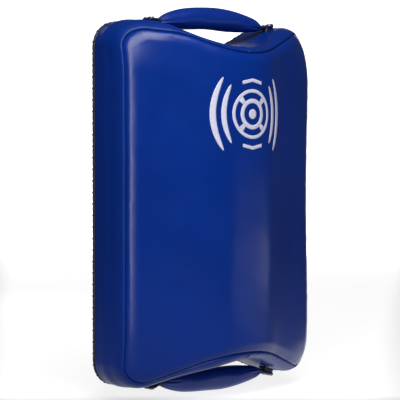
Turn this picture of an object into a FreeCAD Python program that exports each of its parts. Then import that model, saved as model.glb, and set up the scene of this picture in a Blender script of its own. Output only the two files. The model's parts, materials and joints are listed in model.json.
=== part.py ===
"""Martial-arts kick shield, built in FreeCAD, millimetres.

A stuffed shield 592 mm tall: a flat back, two side flanks that rise to a rounded ridge down the
middle of the striking face, and a shallow dip in both ends that a padded handle spans. The leather
cover is a front panel, two side gussets and a back panel whip-laced round a welt. Inside are three
foam layers. The back carries two forearm straps that close through rectangular rings, and a grip.

Frame: X across, -Y towards the striking face, +Z up. The origin is the centre of the back face.
"""
import FreeCAD, Part
import math
import os

V = FreeCAD.Vector

# ---- driving dimensions -------------------------------------------------------------------------
HALF_WIDTH = 203.0        # side of the cover
HALF_HEIGHT = 296.0       # highest point of each shoulder
CORNER_R = 36.0           # shoulder radius, front view
DIP_SLOPE = 20.0          # degrees, the straight flank of the dip in each end
DIP_R = 250.0             # radius at the bottom of the dip
RIDGE_DEPTH = 158.0       # back face to the ridge of the striking face
RIDGE_R = 154.0           # radius of the rounded ridge, seen from above
FLANK_SLOPE = 25.5        # degrees, how the flat flanks fall away from the ridge
EDGE_R = 30.0             # rounding between striking face and gusset

LEATHER = 2.0             # cover thickness
BACK_LEATHER = 2.5
FIT = 0.3                 # clearance between pieces that only lie against each other
SEAM_INSET = 10.0         # front seam, inside the outline
SEAM_GAP = 0.2
TOUCH = 0.1               # gap left between pieces that are pressed together
SEAT_GAP = 0.05           # rivet cap over the leather, and rivet shank in its hole
WELT = 5.0                # square section of the laced edge
WELT_INSET = 3.5
LACE_R = 1.0
LACE_PITCH = 19.0

BASE_FOAM = 22.0          # back face to the top of the firm base layer
BASE_MARGIN = 4.5         # the base layer is cut smaller, so that the gusset can tuck in behind it
STRIKE_FOAM = 45.0        # thickness of the soft layer behind the striking face

HANDLE_Y = -57.0          # middle of the gusset where the end handles are fixed
HANDLE_R = 18.5
HANDLE_HALF = 112.0       # half length of the padded roll
ROLL_DRAW = 0.52          # share of a roll's radius that is drawn in at its ends
ROLL_POWER = 9            # how late along the roll that starts
ROLL_STATIONS = 13
HANDLE_RISE = 6.5         # how far the roll bows away from its ends
TOP_HINGE_Z = 294.0
BOTTOM_HINGE_Z = -292.0
BOTTOM_RISE = 1.5         # the lower handle is pressed nearly straight
WEB_WIDTH = 22.0
WEB_THICK = 2.5
WEB_IN_ROLL = 4.0         # the web is this much narrower inside a roll
WEB_STRAIGHT = 14.0       # the web is straight this far in from each end of its roll
COVER_THICK = 1.8
TAB_WIDTH = 23.0
TAB_INNER = 120.6         # tab ends along X
TAB_OUTER = 141.0
TAB_TOP_Z = 296.5
TAB_BEVEL = (3.0, 1.0)    # outer end of a tab: length and height of its bevel
RIVET_X = 131.0
RIVET_PITCH = 11.0
RIVET_CAP_R = 4.5
RIVET_CAP_H = 1.6
RIVET_SHANK_R = 1.6
WASHER_R = 5.0
WASHER_H = 1.0
RIVET_TAIL = 1.5          # shank beyond the washer
BORE_LENGTH = 40.0        # cutting tool for a rivet hole
POCKET_MARGIN = 1.0       # foam pocket round a washer
END_POCKET = (4.0, 14.0)  # foam pocket of an end rivet: start under the washer, and depth
BACK_POCKET = 6.0         # depth of a foam pocket on the back

STRAP_CENTRES = {"upper": 52.0, "lower": -108.0}    # Z of each forearm strap
ARCH_R = 58.0             # middle of the strap's leather, over the forearm
ARCH_Y = 22.5             # height of the arch's centre over the back face
BAND_WIDTH = 80.0
BAND_THICK = 2.5
PAD_THICK = 7.0
PAD_WIDTH = 84.0
BAND_END_DEG = 32.0       # where the wide band stops, on the ring side
ANCHOR_R = 9.0            # bend where the band meets the back panel
ANCHOR_LENGTH = 36.0
RIVET_SHARE = 0.62        # where a foot's rivets sit along it
BAND_RIVETS = (-30.0, 0.0, 30.0)
PAD_SHORT_DEG = 14.0      # the padding stops this much before the band
PAD_STRAIGHT = 6.0
CLOSURE_WIDTH = 50.0
CLOSURE_THICK = 2.0
CLOSURE_UNDER_DEG = 11.0  # how far the closure runs in under the band's end
FASTENER_THICK = 1.4      # hook or loop tape
HOOK_START_DEG = 44.0
HOOK_SHORT_DEG = 3.0      # the hook tape stops this much before the tail's end
LOOP_DEG = (38.0, 150.0)
TAPE_PILE = 0.6           # hooks and loops pressed into each other
RING_WIRE_R = 2.0
RING_PITCH = 16.0         # between the ring's two long bars
RING_HALF = 29.0          # half length of the ring, to the short bars' middles
RING_BEND = 3.5           # corner bends
RING_BAR_Y = 6.5          # hinge bar over the back face
FOLD_R = 6.5              # middle of the closure strap, round the ring's outer bar
TAIL_HINGE_Y = 26.0
TAIL_END_DEG = 112.0
RING_TAB_WIDTH = 46.0
RING_TAB_THICK = 2.0
RING_TAB_LENGTH = 34.0
RING_PLAY = 0.08          # ring's bar in the loop of its tab
RING_RIVET_SHARE = 0.68
RING_RIVETS = (-15.0, 15.0)

GRIP_Z = 178.0
GRIP_Y = 42.0             # middle of the roll over the back face
GRIP_R = 15.0
GRIP_HALF = 58.0
GRIP_RISE = 3.0
GRIP_HINGE_Y = 13.5
GRIP_LEG_X = 66.0         # middle of each leg
GRIP_FOOT_LENGTH = 36.0
GRIP_TAB_THICK = 3.5
GRIP_TAB_GAP = 0.4        # between a leg of the grip and the ear of its tab
GRIP_RIVETS = (-6.5, 6.5)


# ---- small tools --------------------------------------------------------------------------------
def prism_xy(edges, z0, z1):
    """Solid from a closed chain of edges drawn in the XY plane, between two heights."""
    face = Part.Face(Part.Wire(edges))
    face.translate(V(0, 0, z0))
    return face.extrude(V(0, 0, z1 - z0))


def arc(centre, radius, start_deg, end_deg, plane="xy"):
    """Arc edge; angles in degrees from +X, turning towards the plane's second axis."""
    def at(deg):
        a = math.radians(deg)
        return point(centre[0] + radius * math.cos(a), centre[1] + radius * math.sin(a), plane)
    return Part.Arc(at(start_deg), at((start_deg + end_deg) / 2), at(end_deg)).toShape()


def point(u, v, plane="xy"):
    return {"xy": V(u, v, 0), "xz": V(u, 0, v), "yz": V(0, u, v)}[plane]


def line(a, b, plane="xy"):
    return Part.makeLine(point(*a, plane), point(*b, plane))


def polar(centre, radius, deg):
    a = math.radians(deg)
    return (centre[0] + radius * math.cos(a), centre[1] + radius * math.sin(a))


def box(x0, x1, y0, y1, z0, z1):
    return Part.makeBox(x1 - x0, y1 - y0, z1 - z0, V(x0, y0, z0))


def sector(centre, radius, thick, start_deg, end_deg, z0, z1):
    """A strip of leather bent round a centre: part of a ring, between two heights."""
    lo, hi = radius - thick / 2, radius + thick / 2
    edges = [
        arc(centre, lo, start_deg, end_deg),
        line(polar(centre, lo, end_deg), polar(centre, hi, end_deg)),
        arc(centre, hi, end_deg, start_deg),
        line(polar(centre, hi, start_deg), polar(centre, lo, start_deg)),
    ]
    return prism_xy(edges, z0, z1)


def slab(a, b, thick, z0, z1):
    """A flat strip between two points of the XY plane."""
    dx, dy = b[0] - a[0], b[1] - a[1]
    long = math.hypot(dx, dy)
    nx, ny = -dy / long * thick / 2, dx / long * thick / 2
    near = [(a[0] + nx, a[1] + ny), (b[0] + nx, b[1] + ny)]
    corners = near + [(b[0] - nx, b[1] - ny), (a[0] - nx, a[1] - ny)]
    return prism_xy([line(corners[i], corners[(i + 1) % 4]) for i in range(4)], z0, z1)


def fused(shapes):
    return shapes[0].multiFuse(shapes[1:]).removeSplitter()


def mirrored_x(shape):
    return shape.mirror(V(0, 0, 0), V(1, 0, 0))


def mirrored_z(shape):
    return shape.mirror(V(0, 0, 0), V(0, 0, 1))


def save(node, shape):
    solids = shape.Solids
    assert solids, node
    for s in solids:
        assert s.isValid() and s.Volume > 0, (node, s.Volume)
    out = solids[0] if len(solids) == 1 else Part.makeCompound(solids)
    out.exportStep(f"parts/{node}.step")
    b = out.BoundBox
    print(f"{node:26s} {len(solids):3d} {out.Volume / 1000:9.1f} cm3  X {b.XMin:7.1f} {b.XMax:7.1f}"
          f"  Y {b.YMin:7.1f} {b.YMax:7.1f}  Z {b.ZMin:7.1f} {b.ZMax:7.1f}")


# ---- the stuffed body ---------------------------------------------------------------------------
CORNER = (HALF_WIDTH - CORNER_R, HALF_HEIGHT - CORNER_R)
SIN_D, COS_D = math.sin(math.radians(DIP_SLOPE)), math.cos(math.radians(DIP_SLOPE))
SHOULDER = (CORNER[0] - CORNER_R * SIN_D, CORNER[1] + CORNER_R * COS_D)
DIP_JOIN = DIP_R * SIN_D
DIP_CENTRE = SHOULDER[1] - (SHOULDER[0] - DIP_JOIN) * SIN_D / COS_D + DIP_R * COS_D
DIP_Z = DIP_CENTRE - DIP_R

SIN_F, COS_F = math.sin(math.radians(FLANK_SLOPE)), math.cos(math.radians(FLANK_SLOPE))
RIDGE_CENTRE = -RIDGE_DEPTH + RIDGE_R


def outline(inset):
    """Front view of the body, a closed wire in the XZ plane, moved inwards by inset."""
    r, dip = CORNER_R - inset, DIP_R + inset
    d = DIP_SLOPE
    flank_top = polar(CORNER, r, 90 + d)
    flank_low = polar((0, DIP_CENTRE), dip, d - 90)
    side = (CORNER[0] + r, CORNER[1])
    right = [
        line((side[0], -side[1]), side, "xz"),
        arc(CORNER, r, 0, 90 + d, "xz"),
        line(flank_top, flank_low, "xz"),
        arc((0, DIP_CENTRE), dip, d - 90, -90 - d, "xz"),
    ]
    edges = right + [e.rotated(V(0, 0, 0), V(0, 1, 0), 180) for e in right]
    upper_left = [arc((-CORNER[0], CORNER[1]), r, 90 - d, 180, "xz"),
                  line((-flank_low[0], flank_low[1]), (-flank_top[0], flank_top[1]), "xz")]
    edges += upper_left + [e.rotated(V(0, 0, 0), V(0, 1, 0), 180) for e in upper_left]
    return Part.Wire(Part.__sortEdges__(edges))


def outline_prism(inset, y0, y1):
    face = Part.Face(outline(inset))
    face.translate(V(0, y0, 0))
    return face.extrude(V(0, y1 - y0, 0))


def front_region(inset, back_y):
    """Everything behind the striking face, moved back by inset, and in front of back_y."""
    r = RIDGE_R - inset
    reach = HALF_WIDTH + 40
    join = (r * SIN_F, RIDGE_CENTRE - r * COS_F)
    far_y = join[1] + (reach - join[0]) * SIN_F / COS_F
    edges = [
        arc((0, RIDGE_CENTRE), r, -90 - FLANK_SLOPE, -90 + FLANK_SLOPE),
        line(join, (reach, far_y)),
        line((reach, far_y), (reach, back_y)),
        line((reach, back_y), (-reach, back_y)),
        line((-reach, back_y), (-reach, far_y)),
        line((-reach, far_y), (-join[0], join[1])),
    ]
    return prism_xy(edges, -HALF_HEIGHT - 20, HALF_HEIGHT + 20)


def body(inset, back_y):
    """The whole stuffed shape with its front edge rounded, moved inwards by inset."""
    block = outline_prism(inset, -RIDGE_DEPTH - 20, back_y).common(front_region(inset, 60))
    rounded = [e for e in block.Edges if e.BoundBox.YMax < back_y - 1 and not on_face(e, block)]
    return block.makeFillet(EDGE_R - inset, rounded)


def on_face(edge, block):
    """True for the edges inside the striking face and inside the gusset: only the rim is left."""
    direction = edge.valueAt(edge.LastParameter) - edge.valueAt(edge.FirstParameter)
    direction.normalize()
    inside_face = abs(direction.z) > 0.999 and abs(edge.CenterOfMass.x) < RIDGE_R * SIN_F + 5
    inside_gusset = abs(direction.y) > 0.999
    return inside_face or inside_gusset


def cover():
    """Front panel and two gussets, cut from one leather shell at the front seam."""
    back = -WELT - FIT
    outer = body(0, back)
    shell = outer.cut(body(LEATHER, 60))
    seam = outline_prism(SEAM_INSET, -RIDGE_DEPTH - 20, -30)
    inner_seam = outline_prism(SEAM_INSET + SEAM_GAP, -RIDGE_DEPTH - 20, -30)
    front = shell.common(inner_seam)
    side = shell.cut(seam)
    far = 2 * HALF_HEIGHT
    left = side.common(box(-far, -SEAM_GAP / 2, -far, far, -far, far))
    right = side.common(box(SEAM_GAP / 2, far, -far, far, -far, far))
    return front, left, right


def foam_layers():
    """Soft striking layer, core and firm base, a little inside the cover."""
    inner = body(LEATHER + FIT, -WELT - 2 * FIT)
    behind_strike = front_region(LEATHER + FIT + STRIKE_FOAM, 60)
    behind_strike_gap = front_region(LEATHER + FIT + STRIKE_FOAM + FIT, 60)
    far = 2 * HALF_HEIGHT
    base_zone = box(-far, far, -BASE_FOAM, 0, -far, far)
    strike = inner.cut(behind_strike).cut(box(-far, far, -BASE_FOAM - FIT, 0, -far, far))
    core = inner.common(behind_strike_gap).common(box(-far, far, -far, -BASE_FOAM - FIT, -far, far))
    step = outline_prism(WELT_INSET + WELT + 2 * FIT, -BASE_FOAM, -BACK_LEATHER - FIT)
    wide = outline_prism(LEATHER + BASE_MARGIN, -BASE_FOAM, -WELT - 2 * FIT)
    base = inner.common(base_zone).common(wide).fuse(step).removeSplitter()
    return strike, core, base


# ---- laced edge ---------------------------------------------------------------------------------
def lace_stitch():
    """One stitch round the outer corner of the welt, drawn in the XY plane at the right side."""
    off = LACE_R + 0.15
    x_out = -WELT_INSET + off
    bend = 2.0
    path = Part.Wire([
        Part.makeLine(V(x_out, -WELT + 0.6, 0), V(x_out, off - bend, 0)),
        arc((x_out - bend, off - bend), bend, 0, 90),
        Part.makeLine(V(x_out - bend, off, 0), V(-WELT - 3.0, off, 0)),
    ])
    section = Part.Wire(Part.makeCircle(LACE_R, V(x_out, -WELT + 0.6, 0), V(0, 1, 0)))
    return path.makePipeShell([section], True, False)


def lacing():
    """The stitch repeated round the outline at an even pitch, square to it."""
    edge = outline(0)
    count = round(edge.Length / LACE_PITCH)
    stitch = lace_stitch()
    out = []
    for station in edge.discretize(Number=count + 1)[:count]:
        nearest = edge.distToShape(Part.Vertex(station))[2][0]
        e = edge.Edges[nearest[1]] if nearest[0] == "Edge" else edge.Edges[0]
        tangent = e.tangentAt(e.Curve.parameter(station))
        normal = V(-tangent.z, 0, tangent.x)
        if not inside_outline(station - normal):
            normal = normal * -1
        copy = stitch.copy()
        copy.rotate(V(0, 0, 0), V(0, 1, 0), -math.degrees(math.atan2(normal.z, normal.x)))
        copy.translate(station)
        out.append(copy)
    return Part.makeCompound(out)


OUTLINE_FACE = Part.Face(outline(0))


def inside_outline(p):
    return OUTLINE_FACE.isInside(p, 1e-4, True)


# ---- handles ------------------------------------------------------------------------------------
def roll_section(share, radius):
    """Radius along a padded roll: full over the grip, drawn in at each end."""
    return radius * (1 - ROLL_DRAW * abs(share) ** ROLL_POWER)


def roll(half, radius, rise, shrink):
    """A padded roll along X, bowed towards +Z by rise, lofted through circles."""
    wires = []
    for i in range(ROLL_STATIONS):
        share = -1 + 2 * i / (ROLL_STATIONS - 1)
        x = share * (half - shrink)
        z = rise * (1 - share * share)
        slope = V(1, 0, -2 * rise * share / half)
        wires.append(Part.Wire(Part.makeCircle(roll_section(share, radius) - shrink, V(x, 0, z), slope)))
    return Part.makeLoft(wires, True, False)


def strip_xz(half, rise, thick, width, x_end):
    """A flat web along X with the same bow as the roll, and straight ends."""
    radius = (half * half + rise * rise) / (2 * rise)
    centre = (0, rise - radius)
    half_deg = math.degrees(math.asin(half / radius))
    lo, hi = radius - thick / 2, radius + thick / 2
    a, b = 90 - half_deg, 90 + half_deg
    right_lo, right_hi = polar(centre, lo, a), polar(centre, hi, a)
    left_lo, left_hi = (-right_lo[0], right_lo[1]), (-right_hi[0], right_hi[1])
    z_lo, z_hi = -thick / 2, thick / 2
    edges = [
        arc(centre, lo, a, b, "xz"),
        line(left_lo, (-x_end, z_lo), "xz"),
        line((-x_end, z_lo), (-x_end, z_hi), "xz"),
        line((-x_end, z_hi), left_hi, "xz"),
        arc(centre, hi, b, a, "xz"),
        line(right_hi, (x_end, z_hi), "xz"),
        line((x_end, z_hi), (x_end, z_lo), "xz"),
        line((x_end, z_lo), right_lo, "xz"),
    ]
    face = Part.Face(Part.Wire(edges))
    face.translate(V(0, -width / 2, 0))
    return face.extrude(V(0, width, 0))


def end_handle(rise):
    """Cover, filling and web of an end handle, about its own hinge line along X."""
    outer = roll(HANDLE_HALF, HANDLE_R, rise, 0)
    hollow = roll(HANDLE_HALF, HANDLE_R, rise, COVER_THICK)
    bowed, width = HANDLE_HALF - WEB_STRAIGHT, WEB_WIDTH - WEB_IN_ROLL
    web = strip_xz(bowed, rise, WEB_THICK, width, TAB_INNER - FIT - SEAM_GAP)
    clear = strip_xz(bowed, rise, WEB_THICK + 2 * FIT, width + 2 * FIT, TAB_INNER)
    skin = outer.cut(hollow).cut(clear)
    filling = roll(HANDLE_HALF, HANDLE_R, rise, COVER_THICK + FIT).cut(clear)
    return skin, filling, web


def gusset_z(x):
    """Height of the upper gusset over the straight flank of the dip."""
    return SHOULDER[1] - (SHOULDER[0] - abs(x)) * SIN_D / COS_D


def handle_tab():
    """Upper right tab: a wedge of folded leather, flat on top, that fills the slope of the gusset."""
    lift = FIT / COS_D
    points = [(TAB_INNER, gusset_z(TAB_INNER) + lift), (TAB_OUTER, gusset_z(TAB_OUTER) + lift),
              (TAB_OUTER, TAB_TOP_Z - TAB_BEVEL[1]), (TAB_OUTER - TAB_BEVEL[0], TAB_TOP_Z),
              (TAB_INNER, TAB_TOP_Z)]
    edges = [line(points[i], points[(i + 1) % 5], "xz") for i in range(5)]
    face = Part.Face(Part.Wire(edges))
    face.translate(V(0, HANDLE_Y - TAB_WIDTH / 2, 0))
    return face.extrude(V(0, TAB_WIDTH, 0))


def cap_rivet(foot, axis, length):
    """Domed cap on foot, with a shank of the given length below it."""
    cap = Part.makeCylinder(RIVET_CAP_R, RIVET_CAP_H, foot, axis)
    rim = [e for e in cap.Edges if e.Closed and abs((e.CenterOfMass - foot).dot(axis) - RIVET_CAP_H) < 0.01]
    cap = cap.makeFillet(RIVET_CAP_H * 0.7, rim)
    shank = Part.makeCylinder(RIVET_SHANK_R, length, foot, axis * -1)
    return cap.fuse(shank).removeSplitter()


def end_rivets():
    """The two upper right rivets and washers, and the holes and pockets that clear them."""
    axis = V(0, 0, 1)
    rivets, washers, bores, pockets = [], [], [], []
    under = gusset_z(RIVET_X - WASHER_R - POCKET_MARGIN) - LEATHER / COS_D - TOUCH
    seat = TAB_TOP_Z + TOUCH
    for dy in (-RIVET_PITCH / 2, RIVET_PITCH / 2):
        y = HANDLE_Y + dy
        rivets.append(cap_rivet(V(RIVET_X, y, seat), axis, seat - under + WASHER_H + RIVET_TAIL))
        start = V(RIVET_X, y, under - BORE_LENGTH / 4)
        bore = Part.makeCylinder(RIVET_SHANK_R + SEAT_GAP, BORE_LENGTH, start, axis)
        washers.append(Part.makeCylinder(WASHER_R, WASHER_H, V(RIVET_X, y, under), axis * -1).cut(bore))
        bores.append(bore)
        foot = V(RIVET_X, y, under - END_POCKET[0])
        pockets.append(Part.makeCylinder(WASHER_R + POCKET_MARGIN, END_POCKET[1], foot, axis))
    return rivets, washers, bores, pockets


def over_both_ends(shapes_top):
    """A set of shapes at the upper right, copied to the other three places."""
    top = list(shapes_top) + [mirrored_x(s) for s in shapes_top]
    return top, [mirrored_z(s) for s in top]


# ---- forearm straps -----------------------------------------------------------------------------
ARCH = (0.0, ARCH_Y)
RING_X = ARCH_R + FOLD_R
BAND_OUT = ARCH_R + BAND_THICK / 2
TAIL_R = BAND_OUT + 2 * FASTENER_THICK + TAPE_PILE + CLOSURE_THICK / 2
TAIL_HINGE = (RING_X + FOLD_R, TAIL_HINGE_Y)


def tail_touch_deg():
    """Angle on the arch where the straight run from the tail's hinge becomes tangent to it."""
    dx, dy = TAIL_HINGE[0] - ARCH[0], TAIL_HINGE[1] - ARCH[1]
    far = math.hypot(dx, dy)
    return math.degrees(math.atan2(dy, dx) + math.acos(TAIL_R / far))


def strap_band(z):
    """Wide leather band: sewn foot on the left, bend, and the arch over the forearm."""
    z0, z1 = z - BAND_WIDTH / 2, z + BAND_WIDTH / 2
    foot_y = BAND_THICK / 2 + TOUCH
    bend = (-ARCH_R - ANCHOR_R, foot_y + ANCHOR_R)
    return fused([
        slab((bend[0] - ANCHOR_LENGTH, foot_y), (bend[0], foot_y), BAND_THICK, z0, z1),
        sector(bend, ANCHOR_R, BAND_THICK, -90, 0, z0, z1),
        slab((-ARCH_R, bend[1]), (-ARCH_R, ARCH_Y), BAND_THICK, z0, z1),
        sector(ARCH, ARCH_R, BAND_THICK, BAND_END_DEG, 180, z0, z1),
    ])


def strap_pad(z):
    """Padded lining under the arch."""
    z0, z1 = z - PAD_WIDTH / 2, z + PAD_WIDTH / 2
    mid = ARCH_R - BAND_THICK / 2 - FIT - PAD_THICK / 2
    return fused([
        slab((-mid, ARCH_Y - PAD_STRAIGHT), (-mid, ARCH_Y), PAD_THICK, z0, z1),
        sector(ARCH, mid, PAD_THICK, BAND_END_DEG + PAD_SHORT_DEG, 180, z0, z1),
    ])


def closure_strap(z):
    """Narrow web sewn under the band's end, down and round the ring's outer bar."""
    z0, z1 = z - CLOSURE_WIDTH / 2, z + CLOSURE_WIDTH / 2
    under = ARCH_R - BAND_THICK / 2 - CLOSURE_THICK / 2 - TOUCH
    slip = (RING_X - FOLD_R) - under
    pieces = [
        sector(ARCH, under, CLOSURE_THICK, 0, BAND_END_DEG + CLOSURE_UNDER_DEG, z0, z1),
        sector((RING_X - slip / 2, ARCH_Y), FOLD_R + slip / 2, CLOSURE_THICK, 180, 360, z0, z1),
        slab((RING_X + FOLD_R, ARCH_Y), (RING_X + FOLD_R, TAIL_HINGE_Y - CLOSURE_THICK / 2 - FIT),
             CLOSURE_THICK, z0, z1),
    ]
    return fused(pieces)


def tail(z):
    """Free end of the closure strap, from its hinge line back over the band."""
    z0, z1 = z - CLOSURE_WIDTH / 2, z + CLOSURE_WIDTH / 2
    touch = tail_touch_deg()
    knuckle = Part.makeCylinder(CLOSURE_THICK / 2, z1 - z0, V(TAIL_HINGE[0], TAIL_HINGE[1], z0))
    return fused([
        slab(TAIL_HINGE, polar(ARCH, TAIL_R, touch), CLOSURE_THICK, z0, z1),
        sector(ARCH, TAIL_R, CLOSURE_THICK, touch, TAIL_END_DEG, z0, z1),
        knuckle,
    ])


def hook_tape(z):
    """Hook tape sewn to the inside of the tail."""
    mid = TAIL_R - CLOSURE_THICK / 2 - FASTENER_THICK / 2 - SEAT_GAP
    half = CLOSURE_WIDTH / 2 - 2
    end_deg = TAIL_END_DEG - HOOK_SHORT_DEG
    return sector(ARCH, mid, FASTENER_THICK, HOOK_START_DEG, end_deg, z - half, z + half)


def loop_tape(z):
    """Loop tape sewn to the outside of the band."""
    mid = BAND_OUT + FASTENER_THICK / 2 + SEAT_GAP
    half = CLOSURE_WIDTH / 2 + 1
    return sector(ARCH, mid, FASTENER_THICK, *LOOP_DEG, z - half, z + half)


def ring(z):
    """Rectangular wire ring with rounded corners, standing on its hinge bar."""
    bend = RING_BEND
    y0, y1 = RING_BAR_Y, RING_BAR_Y + RING_PITCH
    z0, z1 = z - RING_HALF, z + RING_HALF
    path = Part.Wire([
        line((y0, z0 + bend), (y0, z1 - bend), "yz"),
        arc((y0 + bend, z1 - bend), bend, 180, 90, "yz"),
        line((y0 + bend, z1), (y1 - bend, z1), "yz"),
        arc((y1 - bend, z1 - bend), bend, 90, 0, "yz"),
        line((y1, z1 - bend), (y1, z0 + bend), "yz"),
        arc((y1 - bend, z0 + bend), bend, 0, -90, "yz"),
        line((y1 - bend, z0), (y0 + bend, z0), "yz"),
        arc((y0 + bend, z0 + bend), bend, -90, -180, "yz"),
    ])
    section = Part.Wire(Part.makeCircle(RING_WIRE_R, V(0, y0, z0 + bend), V(0, 0, 1)))
    wire = path.makePipeShell([section], True, False)
    wire.translate(V(RING_X, 0, 0))
    return wire


def ring_tab(z):
    """Leather tab sewn to the back panel, with a loop round the ring's hinge bar."""
    z0, z1 = z - RING_TAB_WIDTH / 2, z + RING_TAB_WIDTH / 2
    hole = RING_WIRE_R + RING_PLAY
    rim = hole + RING_TAB_THICK
    centre = V(RING_X, RING_BAR_Y, z0)
    loop = Part.makeCylinder(rim, z1 - z0, centre)
    foot = box(RING_X, RING_X + RING_TAB_LENGTH, TOUCH, 2 * RING_TAB_THICK + TOUCH, z0, z1)
    neck = box(RING_X, RING_X + rim, TOUCH, RING_BAR_Y, z0, z1)
    bore = Part.makeCylinder(hole, z1 - z0 + 2, V(RING_X, RING_BAR_Y, z0 - 1))
    return fused([loop, foot, neck]).cut(bore)


def back_rivets(places, thick):
    """Rivets through a foot of that thickness on the back panel, with washers inside."""
    axis = V(0, 1, 0)
    rivets, washers, bores, pockets = [], [], [], []
    seat = -BACK_LEATHER - TOUCH
    top = thick + TOUCH + SEAT_GAP
    for x, z in places:
        rivets.append(cap_rivet(V(x, top, z), axis, top - seat + WASHER_H + RIVET_TAIL))
        bore = Part.makeCylinder(RIVET_SHANK_R + SEAT_GAP, BORE_LENGTH, V(x, -BORE_LENGTH / 2, z), axis)
        washers.append(Part.makeCylinder(WASHER_R, WASHER_H, V(x, seat, z), axis * -1).cut(bore))
        bores.append(bore)
        pockets.append(Part.makeCylinder(WASHER_R + POCKET_MARGIN, BACK_POCKET, V(x, seat, z), axis * -1))
    return rivets, washers, bores, pockets


# ---- grip on the back ---------------------------------------------------------------------------
def to_grip(shape):
    """Turns a roll drawn along X with +Z up into one that bows towards +Y, at the grip's place."""
    out = shape.copy()
    out.rotate(V(0, 0, 0), V(1, 0, 0), -90)
    out.translate(V(0, GRIP_Y - GRIP_RISE, GRIP_Z))
    return out


def grip_leg(thick, width):
    """Right-hand leg of the grip's web: a round-ended strip standing on the hinge line."""
    x0 = GRIP_LEG_X - thick / 2
    disc = Part.makeCylinder(width / 2, thick, V(x0, GRIP_HINGE_Y, GRIP_Z), V(1, 0, 0))
    upright = box(x0, x0 + thick, GRIP_HINGE_Y, GRIP_Y - GRIP_RISE + thick / 2,
                  GRIP_Z - width / 2, GRIP_Z + width / 2)
    return disc.fuse(upright)


def grip():
    outer = to_grip(roll(GRIP_HALF, GRIP_R, GRIP_RISE, 0))
    hollow = to_grip(roll(GRIP_HALF, GRIP_R, GRIP_RISE, COVER_THICK))
    bowed, width = GRIP_HALF - WEB_STRAIGHT, WEB_WIDTH - WEB_IN_ROLL
    core = to_grip(strip_xz(bowed, GRIP_RISE, WEB_THICK, width, GRIP_LEG_X + WEB_THICK / 2))
    beyond = GRIP_LEG_X + WEB_STRAIGHT / 2
    clear = to_grip(strip_xz(bowed, GRIP_RISE, WEB_THICK + 2 * FIT, width + 2 * FIT, beyond))
    leg = grip_leg(WEB_THICK, WEB_WIDTH)
    web = fused([core, leg, mirrored_x(leg)])
    skin = outer.cut(hollow).cut(clear)
    filling = to_grip(roll(GRIP_HALF, GRIP_R, GRIP_RISE, COVER_THICK + FIT)).cut(clear)
    return skin, filling, web


def grip_tab():
    """Right-hand foot of the grip: an ear beside the web's leg, and a flap on the panel."""
    x0 = GRIP_LEG_X + WEB_THICK / 2 + GRIP_TAB_GAP
    width = WEB_WIDTH + 2
    ear = Part.makeCylinder(width / 2, GRIP_TAB_THICK, V(x0, GRIP_HINGE_Y, GRIP_Z), V(1, 0, 0))
    post = box(x0, x0 + GRIP_TAB_THICK, TOUCH, GRIP_HINGE_Y, GRIP_Z - width / 2, GRIP_Z + width / 2)
    flap = box(x0, x0 + GRIP_FOOT_LENGTH, TOUCH, GRIP_TAB_THICK, GRIP_Z - width / 2, GRIP_Z + width / 2)
    return fused([ear, post, flap])


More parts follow.
